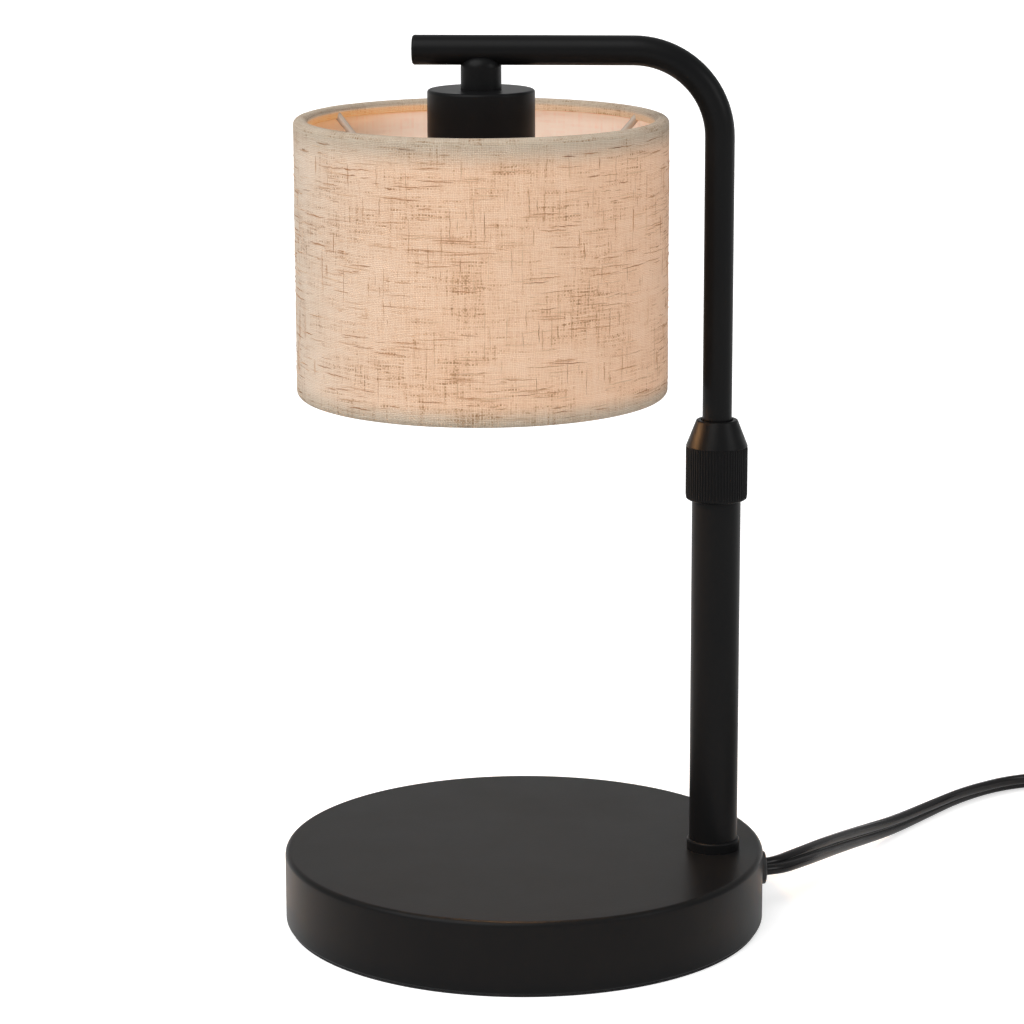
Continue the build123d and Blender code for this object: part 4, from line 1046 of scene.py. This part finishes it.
def painted_glow_side(tree):
    """A slow swell of the painted glow round the drum, brighter towards the front right."""
    axes = axes_of(own_place(tree))
    return smooth_step(scaled(axes["Y"], sin(painted_glow_way), times(axes["X"], cos(painted_glow_way))), -0.05, 0.045)


print("the hem shows", round(hem_shown / MM, 1), "mm of the", round(2 * half_height, 1), "mm high drum")

# %% Linen
linen_tones = (
    (0.0, (0.76, 0.67, 0.565)),
    (0.42, (0.745, 0.63, 0.495)),
    (0.56, (0.665, 0.525, 0.39)),
    (0.66, (0.42, 0.27, 0.16)),
    (0.8, (0.22, 0.12, 0.06)),
)
# Painted shade in the weave: the hollows between the thread backs are darkened towards this colour.
pit_shadow_colour = (0.27, 0.17, 0.10, 1.0)
# Painted light: colours and strengths of the glow that stands for the bulb's light through the cloth.
glow_colour = (1.0, 0.43, 0.19, 1.0)
# Painted pale light where the glow is weakest, which whitens the drum towards the back left.
pale_painted_light_colour = (1.0, 0.95, 0.9, 1.0)
# Painted light on the inner fold: orange, and golden towards the far end.
fold_colours = ((1.0, 0.5, 0.2, 1.0), (1.0, 0.36, 0.02, 1.0))
least_glow, glow_swell = 0.07, 0.21
fold_glow, golden_glow = 0.24, 0.14
painted_pit_shade = 0.55
# How much painted glow the dark slubs take away.
slub_shade = 0.55
weave_depth = 0.00022


def linen():
    material, tree = new_material("linen", roughness=0.88, specular_ior_level=0.12, sheen_weight=0.1)
    tone, height = weave(cloth_map(tree))
    # The hollows between the thread backs are darkened by their depth: a painted shade.
    shaded_pits = times(calc("SUBTRACT", 1.0, height), painted_pit_shade)
    base = blend_colour(shaded_pits, ramp(tone, *linen_tones), pit_shadow_colour)
    glow_side_share = painted_glow_side(tree)
    golden = painted_golden_side(tree, -0.01, -0.045)
    within = inner_side(tree)
    # Painted glow on the single wall, weaker on the dark slubs, and a painted glow on the inner fold.
    lit = times(wall_share(tree), scaled(glow_side_share, glow_swell, least_glow))
    wall_glow = times(lit, scaled(smooth_step(tone, 0.56, 0.7), -slub_shade, 1.0))
    # The painted glow turns pale where it is weakest: painted light on the back left of the drum.
    painted_wall_glow_colour = blend_colour(glow_side_share, pale_painted_light_colour, glow_colour)
    return dress(
        material,
        base_color=base,
        normal=relief(height, weave_depth),
        emission_strength=scaled(within, scaled(golden, golden_glow, fold_glow), wall_glow),
        emission_color=blend_colour(within, painted_wall_glow_colour, blend_colour(golden, *fold_colours)),
    )


finishes["shade_linen"] = linen()
skin = turned("linen_skin", skin_outline, shade_middle, steps=192, sharp=radians(70), cloth_seam=seam_angle)
lay_unevenly(skin.data)
settle(skin, "arm", "shade_linen", "shade_fabric")

# %% [markdown]
# ## Slubs
#
# Some raw stretches of yarn are thick enough to stand up from the weave. A geometry tree scatters them over
# the shade laid out flat, in patches, makes each a slim spindle of its own length and thickness, and then
# rolls the whole sheet up to the drum. The tone of each spindle is stored on it as an attribute for its
# material.

# %% Scattered spindles
slub_patch_scale, patch_level = 55.0, 0.46
lone_share = 0.3
slub_tilt = 0.035
slub_tip = 0.12


def any_number(tree, seed, low=0.0, high=1.0):
    """A random number of its own for each point, through the node's sockets for floats."""
    return socket(tree, "FunctionNodeRandomValue", {2: low, 3: high, "Seed": seed}, 1, data_type="FLOAT")


def spindles(tree, given, tall):
    """Spindles scattered over the flat sheet, densest in the patches of a noise."""
    place = socket(tree, "GeometryNodeInputPosition")
    sizes = {"Size X": times(given["Radius"], 2 * pi), "Size Y": tall, "Vertices X": 2, "Vertices Y": 2}
    sheet = socket(tree, "GeometryNodeMeshGrid", sizes)
    how = {"Mesh": sheet, "Density": given["Density"], "Seed": given["Seed"]}
    points = socket(tree, "GeometryNodeDistributePointsOnFaces", how)
    in_patch = calc("GREATER_THAN", noise_at(place, slub_patch_scale, 1.0), patch_level)
    wanted = calc("MAXIMUM", in_patch, calc("LESS_THAN", any_number(tree, 5), lone_share))
    height = axes_of(place)["Z"]
    taper = map_range(times(height, height), 0.0, 0.25, 1.0, slub_tip)
    spindle = tapered(rod(tree, sides=6, segments=10, radius=1.0, length=1.0), place, taper)
    length = any_number(tree, 1, given["Shortest"], given["Longest"])
    thick = any_number(tree, 2, given["Thinnest"], given["Thickest"])
    quarter = socket(tree, "GeometryNodeSwitch", {0: given["Upright"], 1: pi / 2, 2: 0.0}, input_type="FLOAT")
    turn = calc("ADD", quarter, any_number(tree, 3, -slub_tilt, slub_tilt))
    size, laid = combine(tree, thick, thick, length), combine(tree, pi / 2, 0.0, turn)
    return on_points(tree, points, spindle, Selection=wanted, Rotation=laid, Scale=size)


print("about", round(100 * lone_share), "in 100 slubs stand outside the patches")

# %% Rolled sheet of slubs
slub_stray_scale = 450.0
slub_stray = 0.7 * MM


def rolled(tree, given, tall):
    """Where a point of the flat sheet lies on the drum, after it has strayed a little."""
    place = socket(tree, "GeometryNodeInputPosition")
    stray = noise_at(place, slub_stray_scale, 1.0, take="Color")
    pull = calc("SUBTRACT", stray, (0.5, 0.5, 0.5), kind="ShaderNodeVectorMath")
    strayed = calc("MULTIPLY_ADD", pull, (slub_stray, slub_stray, 0.0), place, kind="ShaderNodeVectorMath")
    axes = axes_of(strayed)
    angle = calc("DIVIDE", axes["X"], given["Radius"])
    out = calc("ADD", axes["Z"], given["Radius"])
    up = calc("ADD", calc("ADD", axes["Y"], given["Low"]), times(tall, 0.5))
    return combine(tree, times(calc("COSINE", angle), out), times(calc("SINE", angle), out), up)


def slub_tree():
    measures = ["Radius", "Low", "High", "Density", "Shortest", "Longest", "Thinnest", "Thickest"]
    tree, given = new_tree("slubs", Float=measures, Bool=["Upright"], Int=["Seed"], Material=["Material"])
    tall = calc("SUBTRACT", given["High"], given["Low"])
    own = {"Geometry": spindles(tree, given, tall), "Name": "tone", "Value": any_number(tree, 4)}
    toned = socket(tree, "GeometryNodeStoreNamedAttribute", own, data_type="FLOAT", domain="INSTANCE")
    real = socket(tree, "GeometryNodeRealizeInstances", {"Geometry": toned})
    return finish_tree(tree, moved(real, rolled(tree, given, tall)), given)


slubs = slub_tree()
print("slub tree", [item.name for item in slubs.interface.items_tree])

# %% Slub yarn
yarn_tones = (
    (0.0, (0.17, 0.08, 0.035)),
    (0.25, (0.32, 0.17, 0.085)),
    (0.6, (0.46, 0.31, 0.2)),
    (1.0, (0.62, 0.47, 0.33)),
)


def slub_finish():
    dull = {"roughness": 0.9, "specular_ior_level": 0.1}
    material, tree = new_material("slub yarn", emission_color=glow_colour, **dull)
    own = socket(tree, "ShaderNodeAttribute", take="Fac", attribute_name="tone")
    tone = calc("ADD", own, scaled(object_noise(tree, 500.0), 1.2, -0.55))
    # The slubs take a faint painted glow on the single wall.
    glow = times(wall_share(tree), 0.1)
    hairy = relief(object_noise(tree, 3000.0), 0.0001)
    return dress(material, base_color=ramp(tone, *yarn_tones), emission_strength=glow, normal=hairy)


slub_values = {
    "Radius": (shade_radius - 0.04) * MM,
    "Material": slub_finish(),
    "Shortest": 0.0015,
    "Thinnest": 0.00004,
}


def grow_slubs(name, margin, density, longest, thickest, upright, seed):
    """Slubs over the drum, apart from a margin in millimetres along its rims."""
    sizes = {"Low": (shade_low + margin) * MM, "High": (shade_high - margin) * MM, "Density": density}
    sizes |= {"Longest": longest, "Thickest": thickest, "Upright": upright, "Seed": seed}
    piece = grown(name, slubs, slub_values | sizes)
    piece.data.transform(Matrix.Translation((*shade_middle, 0.0)))
    return settle(piece, "arm", "shade_linen")


level_slubs = grow_slubs(
    "level_slubs", margin=2.2, density=50000.0, longest=0.013, thickest=0.00013, upright=False, seed=12
)
upright_slubs = grow_slubs(
    "upright_slubs", margin=8.0, density=20000.0, longest=0.011, thickest=0.0001, upright=True, seed=31
)

# %% [markdown]
# ## The liner
#
# Behind the linen lies a thin stiff laminate that spreads the light. It is turned like the skin. Its light
# from within is painted on as a peach glow, golden towards the end away from the post and dimmed near the top
# by a painted shade. The crossing threads show through it as a faint grid that dims the glow a little, and a
# painted orange line of light lies beside each folded hem.

# %% Liner
liner_radius, liner_thickness, liner_inset = 56.0, 0.45, 1.0
liner_inner = liner_radius - liner_thickness
liner_low, liner_high = shade_low + liner_inset, shade_high - liner_inset
grid_pitch = 1.6 * thread_pitch
glow_line = 1.1 * MM
grid_tones = ((0.36, (0.84, 0.73, 0.62)), (0.52, (0.81, 0.69, 0.58)), (0.72, (0.72, 0.57, 0.45)))
# Colours and strengths of the liner's painted glow, and how much painted shade takes from it.
peach, gold, orange = (1.0, 0.7, 0.56, 1.0), (1.0, 0.4, 0.09, 1.0), (1.0, 0.42, 0.12, 1.0)
liner_glow, grid_shade = 0.42, 0.02
painted_top_shade, golden_shade, line_shade = 0.19, 0.12, 0.06


def painted_hem_line(tree):
    """1 in the painted line of orange light beside each folded hem and 0 elsewhere."""
    edge = half_height * MM - fold_depth * MM
    return smooth_step(from_middle(tree), edge - glow_line, edge - 0.3 * glow_line)


def parchment():
    material, tree = new_material("parchment", roughness=0.6, specular_ior_level=0.25)
    axes = axes_of(cloth_map(tree))
    threads = []
    for way, along, seed in (("X", "Y", 2.3), ("Y", "X", 8.1)):
        number = calc("FLOOR", calc("DIVIDE", axes[way], grid_pitch))
        threads.append(thread_tone(axes[along], number, seed))
    grid = times(calc("ADD", *threads), 0.5)
    golden = painted_golden_side(tree, -0.034, -0.062)
    line = times(painted_hem_line(tree), scaled(painted_golden_side(tree, 0.01, -0.04), 0.8, 0.2))
    # Painted shade near the top of the liner.
    top_shade_share = smooth_step(axes_of(own_place(tree))["Z"], (shade_high - 4.0) * MM, (shade_high - 10.0) * MM)
    lit = scaled(smooth_step(grid, 0.5, 0.7), -grid_shade, liner_glow)
    for share, shade in ((top_shade_share, painted_top_shade), (golden, golden_shade), (line, line_shade)):
        lit = scaled(share, -shade, lit)
    return dress(
        material,
        base_color=ramp(grid, *grid_tones),
        normal=relief(grid, 0.00005),
        emission_color=blend_colour(line, blend_colour(golden, peach, gold), orange),
        emission_strength=lit,
    )


finishes["shade_parchment"] = parchment()
outer_edge = [(liner_radius, liner_low), (liner_radius, liner_high)]
inner_edge = [(liner_inner, liner_high), (liner_inner, liner_low)]
liner_outline = [Vector(corner) for corner in outer_edge + inner_edge]
liner = turned("glowing_liner", liner_outline, shade_middle, steps=160, cloth_seam=seam_angle)
settle(liner, "arm", "shade_parchment", "shade_liner")

# %% [markdown]
# ## The bulb
#
# A reflector bulb is pressed glass, mirrored inside and faceted to spread the beam, with a pebbled lens over
# it. The lens is what throws light down on the candle, so it glows, and it is modelled with real pebbles,
# because its dents catch the light one by one. The mirror only needs its facets, which a cell pattern in its
# relief gives.

# %% Bulb finishes
facets_per_metre = 420.0
lamp_strength = 35.0


def mirror_glass():
    material, tree = new_material("mirrored glass", metallic=0.9, roughness=0.16)
    cells = socket(tree, "ShaderNodeTexVoronoi", {"Vector": own_place(tree), "Scale": facets_per_metre})
    silver = ramp(cells, (0.1, (0.72, 0.69, 0.64)), (0.7, (0.86, 0.84, 0.8)))
    return dress(material, base_color=silver, normal=relief(cells, 0.0004))


def lit_glass():
    """Glass with light behind it, a little uneven."""
    colours = {"base_color": (0.8, 0.74, 0.64, 1.0), "emission_color": (1.0, 0.52, 0.22, 1.0)}
    material, tree = new_material("lit glass", roughness=0.12, specular_ior_level=0.5, **colours)
    flame = object_noise(tree, 160.0, 2.0)
    strength = spread(flame, 0.75 * lamp_strength, 1.25 * lamp_strength)
    return dress(material, emission_strength=strength, normal=relief(flame, 0.00004))


finishes |= {"bulb_reflector_glass": mirror_glass(), "bulb_clear_glass": lit_glass()}
print(len(finishes), "finishes now")

# %% Pebbled lens
lens_radius = 23.75
lens_low, lens_high = 176.15, 177.5
lens_rings, lens_steps = 36, 144
pebble_pitch = 1.9
pebble_height = 0.22
pebble_ways = (0, pi / 3, 2 * pi / 3)


def pebbled_lens():
    """A disc whose lower face is pressed into rounded pebbles in a hexagonal order."""
    points, faces = [], []
    for level in (0, 1):
        for ring in range(lens_rings + 1):
            radius = lens_radius * ring / lens_rings
            for step in range(lens_steps):
                angle = 2 * pi * step / lens_steps
                x, y = radius * cos(angle), radius * sin(angle)
                across = [x * cos(way) + y * sin(way) for way in pebble_ways]
                waves = sum(cos(2 * pi * far / pebble_pitch) for far in across)
                fade = min(1.0, (lens_radius - radius) / pebble_pitch)
                height = lens_high if level else lens_low + pebble_height * fade * (1.5 - waves) / 4.5
                points.append((shade_middle[0] + x * MM, shade_middle[1] + y * MM, height * MM))
    last = lens_rings
    pairs = [(ring, ring + 1) for ring in range(2 * last + 1) if ring != last] + [(last, 2 * last + 1)]
    for here, there in pairs:
        faces += band(here * lens_steps, there * lens_steps, lens_steps)
    return make_piece("pebbled_lens", points, faces, radians(60))


settle(pebbled_lens(), "bulb", "bulb_clear_glass", "bulb_lens")

# %% [markdown]
# ## The ring nut under the shade
#
# The nut that clamps the shade to the lamp holder is turned by hand, so it is knurled like the collar, but
# coarser.

# %% Nut ridges
nut_height = 212.0
nut_stand = Matrix.Translation((*shade_middle, nut_height * MM))
ridge_ring("nut_ridges", nut_stand, "arm", "holder_plastic", count=48, radius=17.75, length=4.0, width=1.0)

# %% [markdown]
# ## Finishes for the pieces that stay as built
#
# Turned, bent and moulded pieces already have their true shape. A loop gives each the finish of its slot.

# %% Dress the other pieces
slot_of = {part["node"]: part["material_slot"] for part in frame["record"]["subparts"]}
for name, piece in frame["nodes"].items():
    piece.data.materials.clear()
    piece.data.materials.append(finishes[slot_of[name]])
print("dressed", len(slot_of), "nodes in", len(set(slot_of.values())), "finishes")

# %% [markdown]
# ## Table, light and surroundings
#
# The lamp stands on a white table that runs out of the picture on all sides. For the camera, and for what
# mirrors and glass show of it, the table is a little brighter than the light alone makes it, so that it reads
# as white and still keeps the lamp's soft shadow. The surroundings light it as a dim even grey, which keeps
# the black parts black. To the camera and through glass they are white, and in what is mirrored they are a
# little brighter than their light. A broad key light comes from the left front, and a soft box draws the
# lights along the black tubes.

# %% World
bpy.context.scene.view_settings.view_transform = "Standard"
world_light = 0.36
world_mirrored = 0.15
world = bpy.data.worlds.new("surroundings")
world.use_nodes = True
bpy.context.scene.world = world
background = world.node_tree.nodes["Background"]
WHITE = (1.0, 1.0, 1.0, 1.0)


def seen_or_mirrored(tree, mirrored):
    """1 for rays from the camera and through glass, a given share for what is mirrored, and otherwise 0."""
    rays = node(tree, "ShaderNodeLightPath").outputs
    seen = calc("MAXIMUM", rays["Is Camera Ray"], times(rays["Is Glossy Ray"], mirrored))
    return calc("MAXIMUM", seen, rays["Is Transmission Ray"])


join(background.inputs["Color"], WHITE)
seen_world = scaled(seen_or_mirrored(world.node_tree, world_mirrored), 1.0 - world_light, world_light)
join(background.inputs["Strength"], seen_world)
print("the surroundings light at", world_light)

# %% Table
table_half = 8.0
table_lift, table_mirrored = 0.6, 0.35
wall_place, wall_height = 4.0, 0.8
profile = ((-table_half, 0.0), (wall_place, 0.0), (wall_place, wall_height))
table_points = [(x * table_half, y, z) for y, z in profile for x in (-1, 1)]
table = make_piece("table", table_points, [(0, 1, 3, 2), (2, 3, 5, 4)])
table_finish, table_tree = new_material("table", roughness=0.9, specular_ior_level=0.0, emission_color=WHITE)
table_glow = times(seen_or_mirrored(table_tree, table_mirrored), table_lift)
dress(table_finish, base_color=(0.8, 0.8, 0.8, 1.0), emission_strength=table_glow)
table.data.materials.append(table_finish)
print("table", 2 * table_half, "m wide")

# %% Lights
def light(name, kind, power, place, target=(0.0, 0.0, 0.0), **settings):
    """A light at a place, facing a target."""
    data = bpy.data.lights.new(name, kind)
    for setting, value in {"energy": power, **settings}.items():
        setattr(data, setting, value)
    lamp = add_object(name, data)
    lamp.location = place
    lamp.rotation_euler = (Vector(place) - Vector(target)).to_track_quat("Z", "Y").to_euler()


soft_box = {"shape": "RECTANGLE", "size": 0.5, "size_y": 0.5}
light("key", "SUN", power=2.4, place=(-0.5, -0.55, 0.9), angle=radians(60))
light("side", "AREA", power=2.4, place=(1.02, -0.49, 0.67), target=(0.06, 0.0, 0.155), **soft_box)
